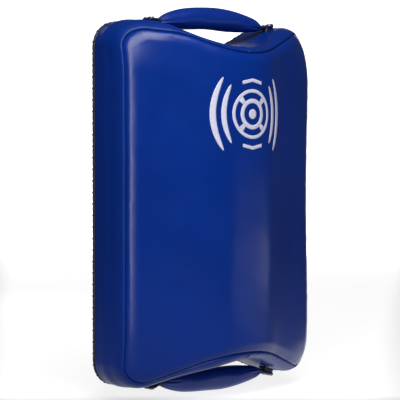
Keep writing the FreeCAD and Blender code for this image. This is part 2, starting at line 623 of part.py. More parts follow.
# ---- build --------------------------------------------------------------------------------------
def main():
    os.makedirs("parts", exist_ok=True)
    front, left, right = cover()
    strike, core, base = foam_layers()
    back = outline_prism(WELT_INSET + WELT + FIT, -BACK_LEATHER, 0)
    welt = outline_prism(WELT_INSET, -WELT, 0).cut(outline_prism(WELT_INSET + WELT, -WELT - 1, 1))

    # end handles, their tabs and rivets
    rivets, washers, end_bores, end_pockets = end_rivets()
    tab = handle_tab()
    for b in end_bores:
        tab = tab.cut(b)
    for corner in over_both_ends(end_bores):
        for b in corner:
            left, right = left.cut(b), right.cut(b)
    for corner in over_both_ends(end_pockets):
        for p in corner:
            core, strike = core.cut(p), strike.cut(p)
    tabs_up, tabs_down = over_both_ends([tab])
    rivets_up, rivets_down = over_both_ends(rivets)
    washers_up, washers_down = over_both_ends(washers)
    for name, sign, hinge_z, rise, tabs, rivet_set, washer_set in (
            ("top", 1, TOP_HINGE_Z, HANDLE_RISE, tabs_up, rivets_up, washers_up),
            ("bottom", -1, BOTTOM_HINGE_Z, BOTTOM_RISE, tabs_down, rivets_down, washers_down)):
        for part, shape in zip(("cover", "foam", "webbing"), end_handle(rise)):
            placed = shape if sign > 0 else mirrored_z(shape)
            placed = placed.copy()
            placed.translate(V(0, HANDLE_Y, hinge_z))
            save(f"{name}_handle_{part}", placed)
        save(f"{name}_handle_tabs", Part.makeCompound(tabs))
        save(f"{name}_handle_rivets", Part.makeCompound(rivet_set))
        save(f"{name}_handle_washers", Part.makeCompound(washer_set))

    # fittings on the back
    grip_x = GRIP_LEG_X + WEB_THICK / 2 + GRIP_TAB_GAP + GRIP_FOOT_LENGTH * RIVET_SHARE
    grip_holes = [(s * grip_x, GRIP_Z + dz) for s in (-1, 1) for dz in GRIP_RIVETS]
    grip_rivets, grip_washers, bores, pockets = back_rivets(grip_holes, GRIP_TAB_THICK)
    right_tab = grip_tab()
    grip_tabs = Part.makeCompound([right_tab, mirrored_x(right_tab)])
    for b in bores:
        grip_tabs = grip_tabs.cut(b)
    for part, shape in zip(("cover", "foam", "webbing"), grip()):
        save(f"grip_{part}", shape)
    save("grip_tabs", grip_tabs)
    save("grip_rivets", Part.makeCompound(grip_rivets))
    save("grip_washers", Part.makeCompound(grip_washers))

    for name, z in STRAP_CENTRES.items():
        foot_x = -ARCH_R - ANCHOR_R - ANCHOR_LENGTH * RIVET_SHARE
        tab_x = RING_X + RING_TAB_LENGTH * RING_RIVET_SHARE
        band_set = back_rivets([(foot_x, z + dz) for dz in BAND_RIVETS], BAND_THICK)
        tab_set = back_rivets([(tab_x, z + dz) for dz in RING_RIVETS], 2 * RING_TAB_THICK)
        band, ring_foot = strap_band(z), ring_tab(z)
        for b in band_set[2]:
            band = band.cut(b)
        for b in tab_set[2]:
            ring_foot = ring_foot.cut(b)
        bores += band_set[2] + tab_set[2]
        pockets += band_set[3] + tab_set[3]
        save(f"{name}_strap_band", band)
        save(f"{name}_strap_pad", strap_pad(z))
        save(f"{name}_strap_closure", closure_strap(z))
        save(f"{name}_strap_tail", tail(z))
        save(f"{name}_strap_hook_tape", hook_tape(z))
        save(f"{name}_strap_loop_tape", loop_tape(z))
        save(f"{name}_strap_ring", ring(z))
        save(f"{name}_strap_ring_tab", ring_foot)
        save(f"{name}_strap_rivets", Part.makeCompound(band_set[0] + tab_set[0]))
        save(f"{name}_strap_washers", Part.makeCompound(band_set[1] + tab_set[1]))

    for b in bores:
        back = back.cut(b)
    for p in pockets:
        base = base.cut(p)
    save("front_panel", front)
    save("left_gusset", left)
    save("right_gusset", right)
    save("back_panel", back)
    save("back_welt", welt)
    save("back_lacing", lacing())
    save("striking_foam", strike)
    save("core_foam", core)
    save("base_foam", base)


main()
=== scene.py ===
"""Looks of a stuffed kick shield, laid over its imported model.

The cover is a striking panel, two side gussets and a back panel with a laced edge. Each end has a
padded handle across its dip, and the back has a grip and two forearm straps that close through rings.
Everything is in metres: X across, -Y towards the striking face, +Z up, origin on the back face.
"""
import json
import math

import bmesh
import bpy
import numpy as np
from bpy.props import FloatProperty, FloatVectorProperty, IntProperty, PointerProperty
from mathutils import Matrix, Vector


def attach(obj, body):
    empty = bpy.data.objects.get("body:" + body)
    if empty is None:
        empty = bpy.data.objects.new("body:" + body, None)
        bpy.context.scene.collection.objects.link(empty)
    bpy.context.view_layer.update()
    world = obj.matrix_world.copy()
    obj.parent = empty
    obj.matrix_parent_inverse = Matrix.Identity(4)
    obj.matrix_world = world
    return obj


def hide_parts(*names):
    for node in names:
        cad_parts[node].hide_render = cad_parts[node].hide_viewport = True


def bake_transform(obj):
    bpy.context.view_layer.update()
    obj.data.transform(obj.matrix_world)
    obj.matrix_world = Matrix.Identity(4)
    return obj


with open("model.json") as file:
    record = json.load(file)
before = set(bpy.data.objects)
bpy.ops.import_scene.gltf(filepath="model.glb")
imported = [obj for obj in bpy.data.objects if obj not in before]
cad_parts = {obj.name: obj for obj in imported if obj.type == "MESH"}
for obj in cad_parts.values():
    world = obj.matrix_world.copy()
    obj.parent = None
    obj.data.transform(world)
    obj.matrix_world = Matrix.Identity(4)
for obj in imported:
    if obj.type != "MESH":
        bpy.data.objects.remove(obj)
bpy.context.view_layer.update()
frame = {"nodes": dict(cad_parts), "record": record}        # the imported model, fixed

bl_info = {
    "name": "Kick Shield",
    "version": (1, 0, 0),
    "blender": (4, 5, 0),
    "location": "3D View > Sidebar > Kick Shield",
    "description": "Leather cover, handles, straps and studio for a stuffed kick shield",
    "category": "Object",
}

# How far the worn ends have settled, metres: sunk left shoulder, shallow dip beside it, broad
# shoulders, low bottom dip.
SEAM_SETTLE = (0.0095, 0.0052, 0.0, 0.0)
COVER_SETTLE = (0.0030, 0.0030, 0.0045, 0.0070)


# ---- settings -----------------------------------------------------------------------------------
def length(name, default, words):
    return FloatProperty(name=name, description=words, default=default, unit="LENGTH", precision=4)


def angle(name, degrees, words):
    return FloatProperty(name=name, description=words, default=math.radians(degrees), subtype="ANGLE")


def colour(name, default, words):
    return FloatVectorProperty(name=name, description=words, default=default, subtype="COLOR",
                               size=3, min=0.0, max=1.0)


class KickShieldCover(bpy.types.PropertyGroup):
    """Sizes of the stuffed cover."""
    half_width: length("Half width", 0.2030, "Side of the cover where it is fullest")
    half_height: length("Half height", 0.2930, "Shoulder of the cover where it is fullest")
    shoulder: length("Shoulder radius", 0.041, "Rounding of each shoulder, seen from the front")
    dip_slope: angle("Dip slope", 20.0, "Straight flank of the dip in each end")
    dip_radius: length("Dip radius", 0.250, "Rounding at the bottom of the dip")
    seam_half_width: length("Seam half width", 0.195, "Front seam, at the sides")
    seam_half_height: length("Seam half height", 0.2825, "Front seam, at the shoulders")
    seam_shoulder: length("Seam shoulder radius", 0.028, "Rounding of the front seam at each shoulder")
    seam_dip_slope: angle("Seam dip slope", 19.5, "Straight flank of the seam's dip")
    seam_dip_radius: length("Seam dip radius", 0.2635, "Rounding at the bottom of the seam's dip")
    ridge_depth: length("Ridge depth", 0.158, "Back face to the ridge of the striking face")
    ridge_radius: length("Ridge radius", 0.154, "Roundness of the ridge, seen from above")
    flank_slope: angle("Flank slope", 25.5, "How the flat flanks fall away from the ridge")
    edge_radius: length("Edge radius", 0.027, "Rounding of the striking face towards its seam")
    edge_reach: length("Edge reach", 0.0185, "How far in from the seam that rounding starts")
    corner_fall: length("Corner fall", 0.0100, "How far the face falls back at each shoulder")
    groove: length("Groove depth", 0.0020, "How deep the leather turns in at a seam")
    groove_width: length("Groove width", 0.0011, "Half width of the turned-in seam")
    fuller_out: length("Fuller side, outwards", 0.0075, "How much wider the fuller side of the stuffing is")
    fuller_front: length("Fuller side, forwards", 0.0065, "How far the fuller side's flank bulges forwards")
    puff: length("Gusset puff", 0.0015, "How far the stuffing bows the gussets out")
    turn_front: length("Front turn", 0.024, "Depth over which a gusset turns to the front seam")
    turn_back: length("Back turn", 0.007, "Depth over which a gusset turns to the laced edge")
    edge_inset: length("Edge inset", 0.0032, "Middle of the laced edge, inside the cover's side")
    edge_roll: length("Edge roll radius", 0.0029, "Half thickness of the bound edge")
    lace_pitch: length("Lace pitch", 0.0185, "Distance between stitches of the laced edge")
    lace_radius: length("Lace radius", 0.0016, "Half thickness of the lace")


class KickShieldHandles(bpy.types.PropertyGroup):
    """Sizes of the padded handles and the grip on the back."""
    line_y: length("Handle line", -0.057, "Middle of the gusset, where the end handles are fixed")
    top_z: length("Top hinge height", 0.294, "Where the top handle's tabs bend")
    bottom_z: length("Bottom hinge height", -0.292, "Where the bottom handle's tabs bend")
    half_length: length("Half length", 0.1125, "Half length of an end handle's padded roll")
    radius: length("Roll radius", 0.0185, "Half thickness of an end handle's padded roll")
    top_rise: length("Top bow", 0.0072, "How far the top roll bows away")
    sag: length("End sag", 0.0030, "How far a roll's ends hang off the line of its tabs")
    bottom_rise: length("Bottom bow", 0.0015, "How far the bottom roll bows away")
    leather: length("Roll leather", 0.0022, "Thickness of the leather round a roll")
    tab_width: length("Tab width", 0.023, "Width of the folded leather tabs")
    tab_thick: length("Tab thickness", 0.0040, "Thickness of the folded leather tabs")
    tab_inner: length("Tab start", 0.1195, "Where a tab leaves its handle, from the middle")
    tab_outer: length("Tab end", 0.1380, "Outer end of a tab, from the middle")
    tab_top: length("Tab height", 0.2962, "Top of a tab under its rivets")
    grip_z: length("Grip height", 0.178, "Middle of the grip on the back")
    grip_y: length("Grip stand-off", 0.042, "Middle of the grip's roll over the back face")
    grip_radius: length("Grip radius", 0.015, "Half thickness of the grip's roll")
    grip_half: length("Grip half length", 0.058, "Half length of the grip's roll")
    grip_rise: length("Grip bow", 0.003, "How far the grip bows away")
    grip_leg: length("Grip leg", 0.066, "Middle of each leg of the grip, from the middle")
    grip_foot: length("Grip foot", 0.036, "Length of the grip's leather feet")
    grip_hinge_y: length("Grip hinge", 0.0135, "Where the grip's legs bend, over the back face")


class KickShieldStraps(bpy.types.PropertyGroup):
    """Sizes of the forearm straps."""
    upper_z: length("Upper strap", 0.052, "Height of the upper strap's middle")
    lower_z: length("Lower strap", -0.108, "Height of the lower strap's middle")
    arch_radius: length("Arch radius", 0.058, "Middle of the band's leather over the forearm")
    arch_y: length("Arch centre", 0.0225, "Centre of the arch over the back face")
    band_width: length("Band width", 0.080, "Width of the leather band")
    band_thick: length("Band thickness", 0.0025, "Thickness of the leather band")
    anchor_radius: length("Anchor bend", 0.009, "Bend where the band meets the back")
    anchor_length: length("Anchor length", 0.036, "Part of the band that lies on the back")
    band_end: angle("Band end", 32.0, "Where the band stops on the ring's side, from +X")
    pad_thick: length("Pad thickness", 0.007, "Padding under the band")
    pad_width: length("Pad width", 0.085, "Width of the padding under the band")
    closure_width: length("Closure width", 0.050, "Width of the closing strap")
    closure_thick: length("Closure thickness", 0.002, "Thickness of the closing strap")
    tape_thick: length("Tape thickness", 0.0014, "Thickness of hook or loop tape")
    ring_x: length("Ring place", 0.0645, "Plane of the ring, from the middle")
    ring_bar_y: length("Ring bar", 0.0065, "The ring's hinge bar over the back face")
    fold_radius: length("Fold radius", 0.0065, "Fold of the closing strap round the ring")
    tail_hinge_y: length("Tail hinge", 0.026, "Where the tail starts to peel, over the back face")
    tail_end: angle("Tail end", 112.0, "Where the tail stops on the arch, from +X")
    ring_tab_width: length("Ring tab width", 0.046, "Width of the leather tab that holds the ring")
    ring_tab_length: length("Ring tab length", 0.034, "Length of that tab on the back")


class KickShieldFinishes(bpy.types.PropertyGroup):
    """Colours of the shield."""
    front_blue: colour("Front blue", (0.0006, 0.0168, 0.152), "Leather of the striking face")
    side_blue: colour("Side blue", (0.0006, 0.016, 0.140), "Leather of the gussets")
    handle_blue: colour("Handle blue", (0.0010, 0.0160, 0.150), "Leather of the handles")
    black: colour("Black leather", (0.010, 0.009, 0.014), "Back panel, bound edge and tabs")
    lining: colour("Lining", (0.014, 0.014, 0.018), "Cloth under the straps")
    web: colour("Webbing", (0.012, 0.012, 0.016), "Woven webbing")
    silver: colour("Silver print", (0.44, 0.44, 0.55), "Printed mark on the striking face")
    mark_z: length("Mark height", 0.143, "Centre of the printed mark")
    mark_radius: length("Mark radius", 0.040, "Outer radius of the printed rings")
    mark_height: length("Mark half height", 0.058, "Half height of the bars beside the rings")


class KickShieldStage(bpy.types.PropertyGroup):
    """Camera, lights and floor."""
    turn: angle("Camera turn", 42.57, "How far left of straight ahead the camera stands")
    rise: angle("Camera rise", 1.7, "How far above the level the camera stands")
    distance: length("Camera distance", 2.8, "Camera to the middle of the shield")
    lens: FloatProperty(name="Lens", description="Focal length in millimetres", default=153.5)
    aim_side: length("Aim sideways", -0.0316, "Aim point to the right of the shield's middle")
    aim_up: length("Aim up", 0.0035, "Aim point above the shield's middle")
    floor_z: length("Floor", -0.3155, "Height of the floor")
    backdrop: length("Backdrop", 3.7, "Distance of the pale backdrop behind the shield")
    room: FloatProperty(name="Room light", description="Even light from all round", default=0.07)


def settings():
    return bpy.context.scene.kick_shield


class KickShieldSettings(bpy.types.PropertyGroup):
    """All settings of the shield."""
    cover: PointerProperty(type=KickShieldCover)
    handles: PointerProperty(type=KickShieldHandles)
    straps: PointerProperty(type=KickShieldStraps)
    finishes: PointerProperty(type=KickShieldFinishes)
    stage: PointerProperty(type=KickShieldStage)


# ---- surfaces -----------------------------------------------------------------------------------
class Skin:
    """Grids of points gathered into one mesh, with a UV map in metres along and across each grid."""

    def __init__(self):
        self.points = []
        self.quads = []
        self.uvs = []
        self.count = 0

    def add(self, points, close_rows=False, close_columns=False):
        """One grid, shape (rows, columns, 3); a closed direction joins its last line to its first."""
        self.add_many(points[None], close_rows, close_columns)

    def add_many(self, points, close_rows=False, close_columns=False):
        """Many grids of one size, shape (grids, rows, columns, 3)."""
        grids, rows, columns = points.shape[:3]
        r = np.arange(rows + 1 if close_rows else rows)
        c = np.arange(columns + 1 if close_columns else columns)
        index = (r % rows)[:, None] * columns + c % columns
        corners = [index[:-1, :-1], index[:-1, 1:], index[1:, 1:], index[1:, :-1]]
        quads = np.stack(corners, -1).reshape(-1, 4)
        laid = points[0][r % rows][:, c % columns]
        u = np.linalg.norm(np.diff(laid, axis=0), axis=2).mean(1)
        v = np.linalg.norm(np.diff(laid, axis=1), axis=2).mean(0)
        u = np.concatenate([[0.0], np.cumsum(u)])
        v = np.concatenate([[0.0], np.cumsum(v)])
        uv = np.stack(np.broadcast_arrays(u[:, None], v[None, :]), -1)
        uv_corners = [uv[:-1, :-1], uv[:-1, 1:], uv[1:, 1:], uv[1:, :-1]]
        uv = np.stack(uv_corners, 2).reshape(-1, 2)
        offsets = self.count + np.arange(grids) * rows * columns
        self.points.append(points.reshape(-1, 3))
        self.quads.append((offsets[:, None, None] + quads).reshape(-1, 4))
        self.uvs.append(np.tile(uv, (grids, 1)))
        self.count += grids * rows * columns

    def build(self, name):
        """The mesh object: doubles merged, so seams and poles are closed, and faces outwards."""
        points = np.concatenate(self.points)
        quads = np.concatenate(self.quads)
        mesh = bpy.data.meshes.new(name)
        mesh.vertices.add(len(points))
        mesh.vertices.foreach_set("co", points.astype(np.float32).ravel())
        mesh.loops.add(quads.size)
        mesh.loops.foreach_set("vertex_index", quads.astype(np.int32).ravel())
        mesh.polygons.add(len(quads))
        mesh.polygons.foreach_set("loop_start", np.arange(0, quads.size, 4, dtype=np.int32))
        mesh.update(calc_edges=True)
        layer = mesh.uv_layers.new(name="UVMap")
        layer.data.foreach_set("uv", np.concatenate(self.uvs).astype(np.float32).ravel())
        edit = bmesh.new()
        edit.from_mesh(mesh)
        bmesh.ops.remove_doubles(edit, verts=edit.verts, dist=2e-6)
        bmesh.ops.recalc_face_normals(edit, faces=edit.faces)
        edit.to_mesh(mesh)
        edit.free()
        mesh.polygons.foreach_set("use_smooth", np.ones(len(mesh.polygons), bool))
        mesh.update()
        piece = bpy.data.objects.new(name, mesh)
        bpy.context.scene.collection.objects.link(piece)
        return piece


def unit(vectors):
    """Vectors of length one with the same directions."""
    return vectors / np.linalg.norm(vectors, axis=-1, keepdims=True)


def bump(distance, width):
    """Bell curve: 1 at distance 0, falling to 0.37 at the width."""
    return np.exp(-(distance / width) ** 2)


def smooth(value, low, high):
    """0 below low, 1 above high, and an even S-shaped rise between them."""
    t = np.clip((value - low) / (high - low), 0, 1)
    return t * t * (3 - 2 * t)


def ripples(share, cycles, seed):
    """Unevenness round a closed line, -1 to 1: a sum of sines with whole counts near cycles."""
    rng = np.random.default_rng(seed)
    counts = np.unique(np.round(cycles * np.array([0.55, 0.8, 1.0, 1.3, 1.7]))).astype(int)
    phases = rng.uniform(0, 2 * np.pi, len(counts))
    heights = rng.uniform(0.5, 1.0, len(counts))
    return (heights * np.sin(2 * np.pi * np.multiply.outer(share, counts) + phases)).sum(-1) / heights.sum()


def dents(x, z, wavelength, seed):
    """Unevenness over a flat area, -1 to 1: six plane waves of about that length, turned at random."""
    rng = np.random.default_rng(seed)
    turns = rng.uniform(0, np.pi, 6)
    counts = 2 * np.pi / (wavelength * rng.uniform(0.7, 1.5, 6))
    phases = rng.uniform(0, 2 * np.pi, 6)
    total = np.zeros(np.shape(x))
    for turn, count, phase in zip(turns, counts, phases):
        total = total + np.sin(count * (x * np.cos(turn) + z * np.sin(turn)) + phase)
    return total / 6


def tube(path, radius, sides, normal):
    """Round bar: at each point of the path, a circle in the plane across it, started at the normal."""
    tangent = unit(np.gradient(path, axis=-2))
    across = unit(normal - (normal * tangent).sum(-1, keepdims=True) * tangent)
    other = np.cross(tangent, across)
    a = np.linspace(0, 2 * np.pi, sides, endpoint=False)
    ring = np.cos(a)[:, None] * across[..., None, :] + np.sin(a)[:, None] * other[..., None, :]
    return path[..., None, :] + np.asarray(radius)[..., None, None] * ring


def strap_section(width, thick, flat_steps):
    """Stadium outline of a strap: two flat sides joined by half circles, as (across, out) pairs."""
    reach = width / 2 - thick / 2
    flat = np.linspace(-reach, reach, flat_steps)
    half_turn = np.linspace(-np.pi / 2, np.pi / 2, 7)[1:-1]
    right = np.stack([reach + thick / 2 * np.cos(half_turn), thick / 2 * np.sin(half_turn)], -1)
    under = np.stack([flat, np.full(flat_steps, -thick / 2)], -1)
    return np.concatenate([under, right, -under, -right])


def strap_along(points, normals, sideways, section):
    """A section carried along a path: across goes sideways, out goes along the normal; ends closed."""
    body = (points[:, None] + section[None, :, 1:] * normals[:, None] + section[None, :, :1] * sideways)
    first = np.repeat(points[:1, None], len(section), axis=1)
    last = np.repeat(points[-1:, None], len(section), axis=1)
    return np.concatenate([first, body, last])


def bent_line(start, heading, moves, step):
    """Plane line of straight runs and arcs. Each move is (length, turn): an even turn over its length.
    Returns points and left-hand normals, both (n, 2); the first point of each move is the last one's."""
    x, y = start
    points, headings = [np.array([[x, y]])], [np.array([heading])]
    for run, turn in moves:
        steps = max(2, int(round(run / step)))
        share = np.arange(1, steps + 1) / steps
        middle = heading + turn * (share - 0.5 / steps)
        chord = run / steps * (np.sin(turn / steps / 2) / (turn / steps / 2) if turn else 1.0)
        px = x + np.cumsum(chord * np.cos(middle))
        py = y + np.cumsum(chord * np.sin(middle))
        points.append(np.stack([px, py], -1))
        headings.append(heading + turn * share)
        x, y, heading = px[-1], py[-1], heading + turn
    points, headings = np.concatenate(points), np.concatenate(headings)
    return points, np.stack([-np.sin(headings), np.cos(headings)], -1)


def stitch_dashes(points, normals, dash, gap, radius):
    """Thread seen as short dashes: the line is cut into even runs, and each is a low closed arch whose
    ends sink into the leather. Returns (dashes, rows, sides, 3)."""
    run = np.concatenate([[0.0], np.cumsum(np.linalg.norm(np.diff(points, axis=0), axis=1))])
    count = max(1, int(run[-1] / (dash + gap)))
    share = np.linspace(-1, 1, 5)
    at = (np.arange(count) + 0.5)[:, None] * run[-1] / count + share * dash / 2
    line = np.stack([np.interp(at, run, points[:, k]) for k in range(3)], -1)
    out = unit(np.stack([np.interp(at, run, normals[:, k]) for k in range(3)], -1))
    line = line + out * (radius * (0.75 - 1.5 * share ** 4))[None, :, None]
    thick = radius * np.sqrt(np.clip(1 - share ** 4, 0, 1))
    return tube(line, np.broadcast_to(thick, line.shape[:-1]), 5, out)


def in_place(piece, body, material, replaces=()):
    """Hands a finished piece to its CAD body and the nodes it stands for."""
    piece.data.materials.clear()
    piece.data.materials.append(material)
    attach(piece, body)
    if replaces:
        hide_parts(*replaces)
    return piece


# ---- the cover's outline ------------------------------------------------------------------------
SIDE_STEPS, SHOULDER_STEPS, FLANK_STEPS, DIP_STEPS = 88, 28, 30, 34
QUARTER = SIDE_STEPS + SHOULDER_STEPS + FLANK_STEPS + DIP_STEPS
CORNER_INDEX = SIDE_STEPS + 12


def rim(half_width, half_height, shoulder, slope, dip_radius):
    """Outline seen from the front, as (x, z) points and outward normals. In each quarter it is the
    straight side, the shoulder's arc, the straight flank of the dip and the dip's arc, always with
    the same number of points, so that outlines of different sizes match point by point."""
    cx, cz = half_width - shoulder, half_height - shoulder
    side_z = np.linspace(0, cz, SIDE_STEPS, endpoint=False)
    side = np.stack([np.full(SIDE_STEPS, half_width), side_z], -1)
    side_n = np.tile([1.0, 0.0], (SIDE_STEPS, 1))
    a = np.linspace(0, np.pi / 2 + slope, SHOULDER_STEPS, endpoint=False)
    arc_n = np.stack([np.cos(a), np.sin(a)], -1)
    arc = np.array([cx, cz]) + shoulder * arc_n
    flank_n = np.array([-np.sin(slope), np.cos(slope)])
    top = np.array([cx, cz]) + shoulder * flank_n
    low_x = dip_radius * np.sin(slope)
    low = np.array([low_x, top[1] - (top[0] - low_x) * np.tan(slope)])
    share = np.linspace(0, 1, FLANK_STEPS, endpoint=False)[:, None]
    flank = top + (low - top) * share
    b = np.linspace(slope, 0, DIP_STEPS + 1)
    dip_n = np.stack([-np.sin(b), np.cos(b)], -1)
    dip = np.array([0.0, low[1] + dip_radius * np.cos(slope)]) - dip_radius * dip_n * [1, 1]
    points = np.concatenate([side, arc, flank, dip])
    normals = np.concatenate([side_n, arc_n, np.tile(flank_n, (FLANK_STEPS, 1)), dip_n])

    def whole(q):
        return np.concatenate([q[:-1], (q * [-1, 1])[:0:-1], -q[:-1], (q * [1, -1])[:0:-1]])
    return whole(points), whole(normals)


def settled(outline, sunk, shallow, broad, low):
    """The worn ends of an outline. At the top the left shoulder has sunk, the dip beside that is shallower,
    and both shoulders reach further into the dip; at the bottom the left of the dip hangs low. Each is an
    amount in metres, faded out away from its end."""
    loop, normal = outline
    x, z = loop[:, 0], loop[:, 1]
    lift = shallow * bump(x + 0.090, 0.050) - sunk * smooth(-x, 0.100, 0.185)
    lift = lift + broad * bump(np.abs(x) - 0.128, 0.026)
    hang = -low * bump(x + 0.055, 0.050)
    return loop + np.stack([0 * x, lift * smooth(z, 0.17, 0.24) + hang * smooth(-z, 0.17, 0.24)], -1), normal


def seam_rim(c):
    """The seam round the striking face."""
    outline = rim(c.seam_half_width, c.seam_half_height, c.seam_shoulder, c.seam_dip_slope,
                  c.seam_dip_radius)
    return settled(outline, *SEAM_SETTLE)


def full_rim(c, inset=0.0):
    """The cover at its fullest, or moved inwards by the inset."""
    outline = rim(c.half_width - inset, c.half_height - inset, c.shoulder - inset, c.dip_slope,
                  c.dip_radius + inset)
    return settled(outline, *COVER_SETTLE)


def filled(loop):
    """Grid inside a closed outline: each point is the blend of the four sides it faces, less the
    blend of the four corners. The corners are the middles of the shoulders."""
    k, n = CORNER_INDEX, QUARTER
    around = np.concatenate([loop, loop[:1]])
    top = loop[k:2 * n - k + 1][::-1]
    low = loop[2 * n + k:4 * n - k + 1]
    left = loop[2 * n - k:2 * n + k + 1][::-1]
    right = np.concatenate([around[4 * n - k:4 * n], loop[:k + 1]])
    u = np.linspace(0, 1, len(top))[None, :, None]
    v = np.linspace(0, 1, len(left))[:, None, None]
    sides = (1 - v) * low[None] + v * top[None] + (1 - u) * left[:, None] + u * right[:, None]
    corners = (1 - u) * (1 - v) * low[0] + u * (1 - v) * low[-1] + (1 - u) * v * top[0] + u * v * top[-1]
    return sides - corners


# ---- the striking face --------------------------------------------------------------------------
def face_y(c, x, z):
    """Depth of the striking face: an arc over the ridge, straight flanks beside it, and a slight
    unevenness where the foam gives."""
    reach = c.ridge_radius * math.sin(c.flank_slope)
    fall = c.ridge_radius * (1 - math.cos(c.flank_slope))
    ax = np.abs(x)
    arc = c.ridge_radius - np.sqrt(np.maximum(c.ridge_radius ** 2 - np.minimum(ax, reach) ** 2, 0))
    flank = fall + (ax - reach) * math.tan(c.flank_slope)
    crown = 0.0016 * np.cos(np.clip(z / c.half_height, -1, 1) * np.pi / 2)
    uneven = 0.0007 * dents(x, z, 0.16, 11) + 0.00020 * dents(x, z, 0.055, 12)
    near_end = smooth(z, 0.205, 0.285) + 0.3 * smooth(-z, 0.205, 0.285)
    corner = c.corner_fall * smooth(ax, 0.125, 0.200) * near_end
    return -c.ridge_depth + np.where(ax <= reach, arc, flank) - crown + uneven + corner


def edge_drop(c, inset):
    """How far the face falls back near its seam: a quarter-round of the edge radius."""
    to_go = np.clip(c.edge_reach - inset, 0, None)
    return c.edge_radius - np.sqrt(c.edge_radius ** 2 - to_go ** 2)


def stuffed(c, points):
    """The stuffing is a little fuller on the right: points there move outwards and forwards, by a share
    that grows towards the side and the front, most of all a hand's width from each shoulder."""
    x, y, z = points[..., 0], points[..., 1], points[..., 2]
    share = smooth(x, 0.07, 0.19) * (1 - smooth(np.abs(z), 0.235, 0.315)) * smooth(-y, 0.012, 0.075)
    share = share * (0.72 + 0.28 * smooth(np.abs(z), 0.02, 0.20))
    return points + share[..., None] * [c.fuller_out, -c.fuller_front, 0.0]


def striking_panel(c):
    """Band of rings from the seam inwards, each the seam moved in along its normals, and a filled
    grid inside the last ring. The seam turns in as a narrow groove beside a low lip."""
    loop, normal = seam_rim(c)
    share = np.arange(len(loop)) / len(loop)
    steps = np.linspace(0, 1, 30) ** 1.7
    inset = (c.edge_reach + 0.001) * steps[:, None]
    fade = 1 - steps[:, None]
    flat = loop[None] - normal[None] * inset[..., None]
    x, z = flat[..., 0], flat[..., 1]
    tight = 0.35 + 0.65 * bump(np.abs(loop[:, 1]) - c.seam_half_height, 0.05)
    pucker = 0.00045 * ripples(share, 90, 21) * bump(inset, 0.006)
    pucker = pucker + 0.0008 * ripples(share, 26, 22) * fade ** 2
    y = face_y(c, x, z) + edge_drop(c, inset) + pucker * tight * (1 - bump(inset, 0.002))
    y = y + c.groove * bump(inset, c.groove_width) - 0.0003 * bump(inset - 0.0042, 0.0030)
    skin = Skin()
    skin.add(stuffed(c, np.stack([x, y, z], -1)), close_columns=True)
    inside = filled(flat[-1])
    x, z = inside[..., 0], inside[..., 1]
    skin.add(stuffed(c, np.stack([x, face_y(c, x, z), z], -1)))
    return skin.build("striking_panel")


def striking_stuffing(c):
    """Soft foam behind the panel: a front that follows the face with more rounding at its rim, a side
    wall and a back, all as rings of one outline closed by filled grids."""
    loop, normal = full_rim(c, 0.0065)
    steps = np.linspace(0, 1, 12)
    inset = (0.034 * steps)[:, None]
    flat = loop[None] - normal[None] * inset[..., None]
    x, z = flat[..., 0], flat[..., 1]
    gone = np.clip(0.034 - inset, 0, None) / 0.034
    front = face_y(c, x, z) + 0.0042 + 0.026 * (1 - np.sqrt(1 - 0.995 * gone ** 2))
    wall_back = np.minimum(face_y(c, x[:1], z[:1]) + 0.048, -0.0265)
    skin = Skin()
    rings = np.concatenate([np.stack([x[:1], wall_back, z[:1]], -1), np.stack([x, front, z], -1)])
    skin.add(rings, close_columns=True)
    inside = filled(flat[-1])
    x, z = inside[..., 0], inside[..., 1]
    skin.add(np.stack([x, face_y(c, x, z) + 0.0042, z], -1))
    behind = filled(loop)
    x, z = behind[..., 0], behind[..., 1]
    skin.add(np.stack([x, np.minimum(face_y(c, x, z) + 0.048, -0.0265), z], -1))
    return skin.build("striking_stuffing")


def stuffing_block(c, name, inset, front, back):
    """Flat-sided layer of foam: the outline moved in by the inset, between two depths. The front may
    be a function of (x, z)."""
    loop, _ = full_rim(c, inset)
    sheet = filled(loop)
    skin = Skin()
    skin.add(np.stack([sheet[..., 0], front(sheet[..., 0], sheet[..., 1]), sheet[..., 1]], -1))
    skin.add(np.stack([sheet[..., 0], np.full(sheet.shape[:2], back), sheet[..., 1]], -1))
    x, z = loop[:, 0], loop[:, 1]
    skin.add(np.stack([np.stack([x, front(x, z), z], -1), np.stack([x, np.full(len(x), back), z], -1)]),
             close_columns=True)
    return skin.build(name)


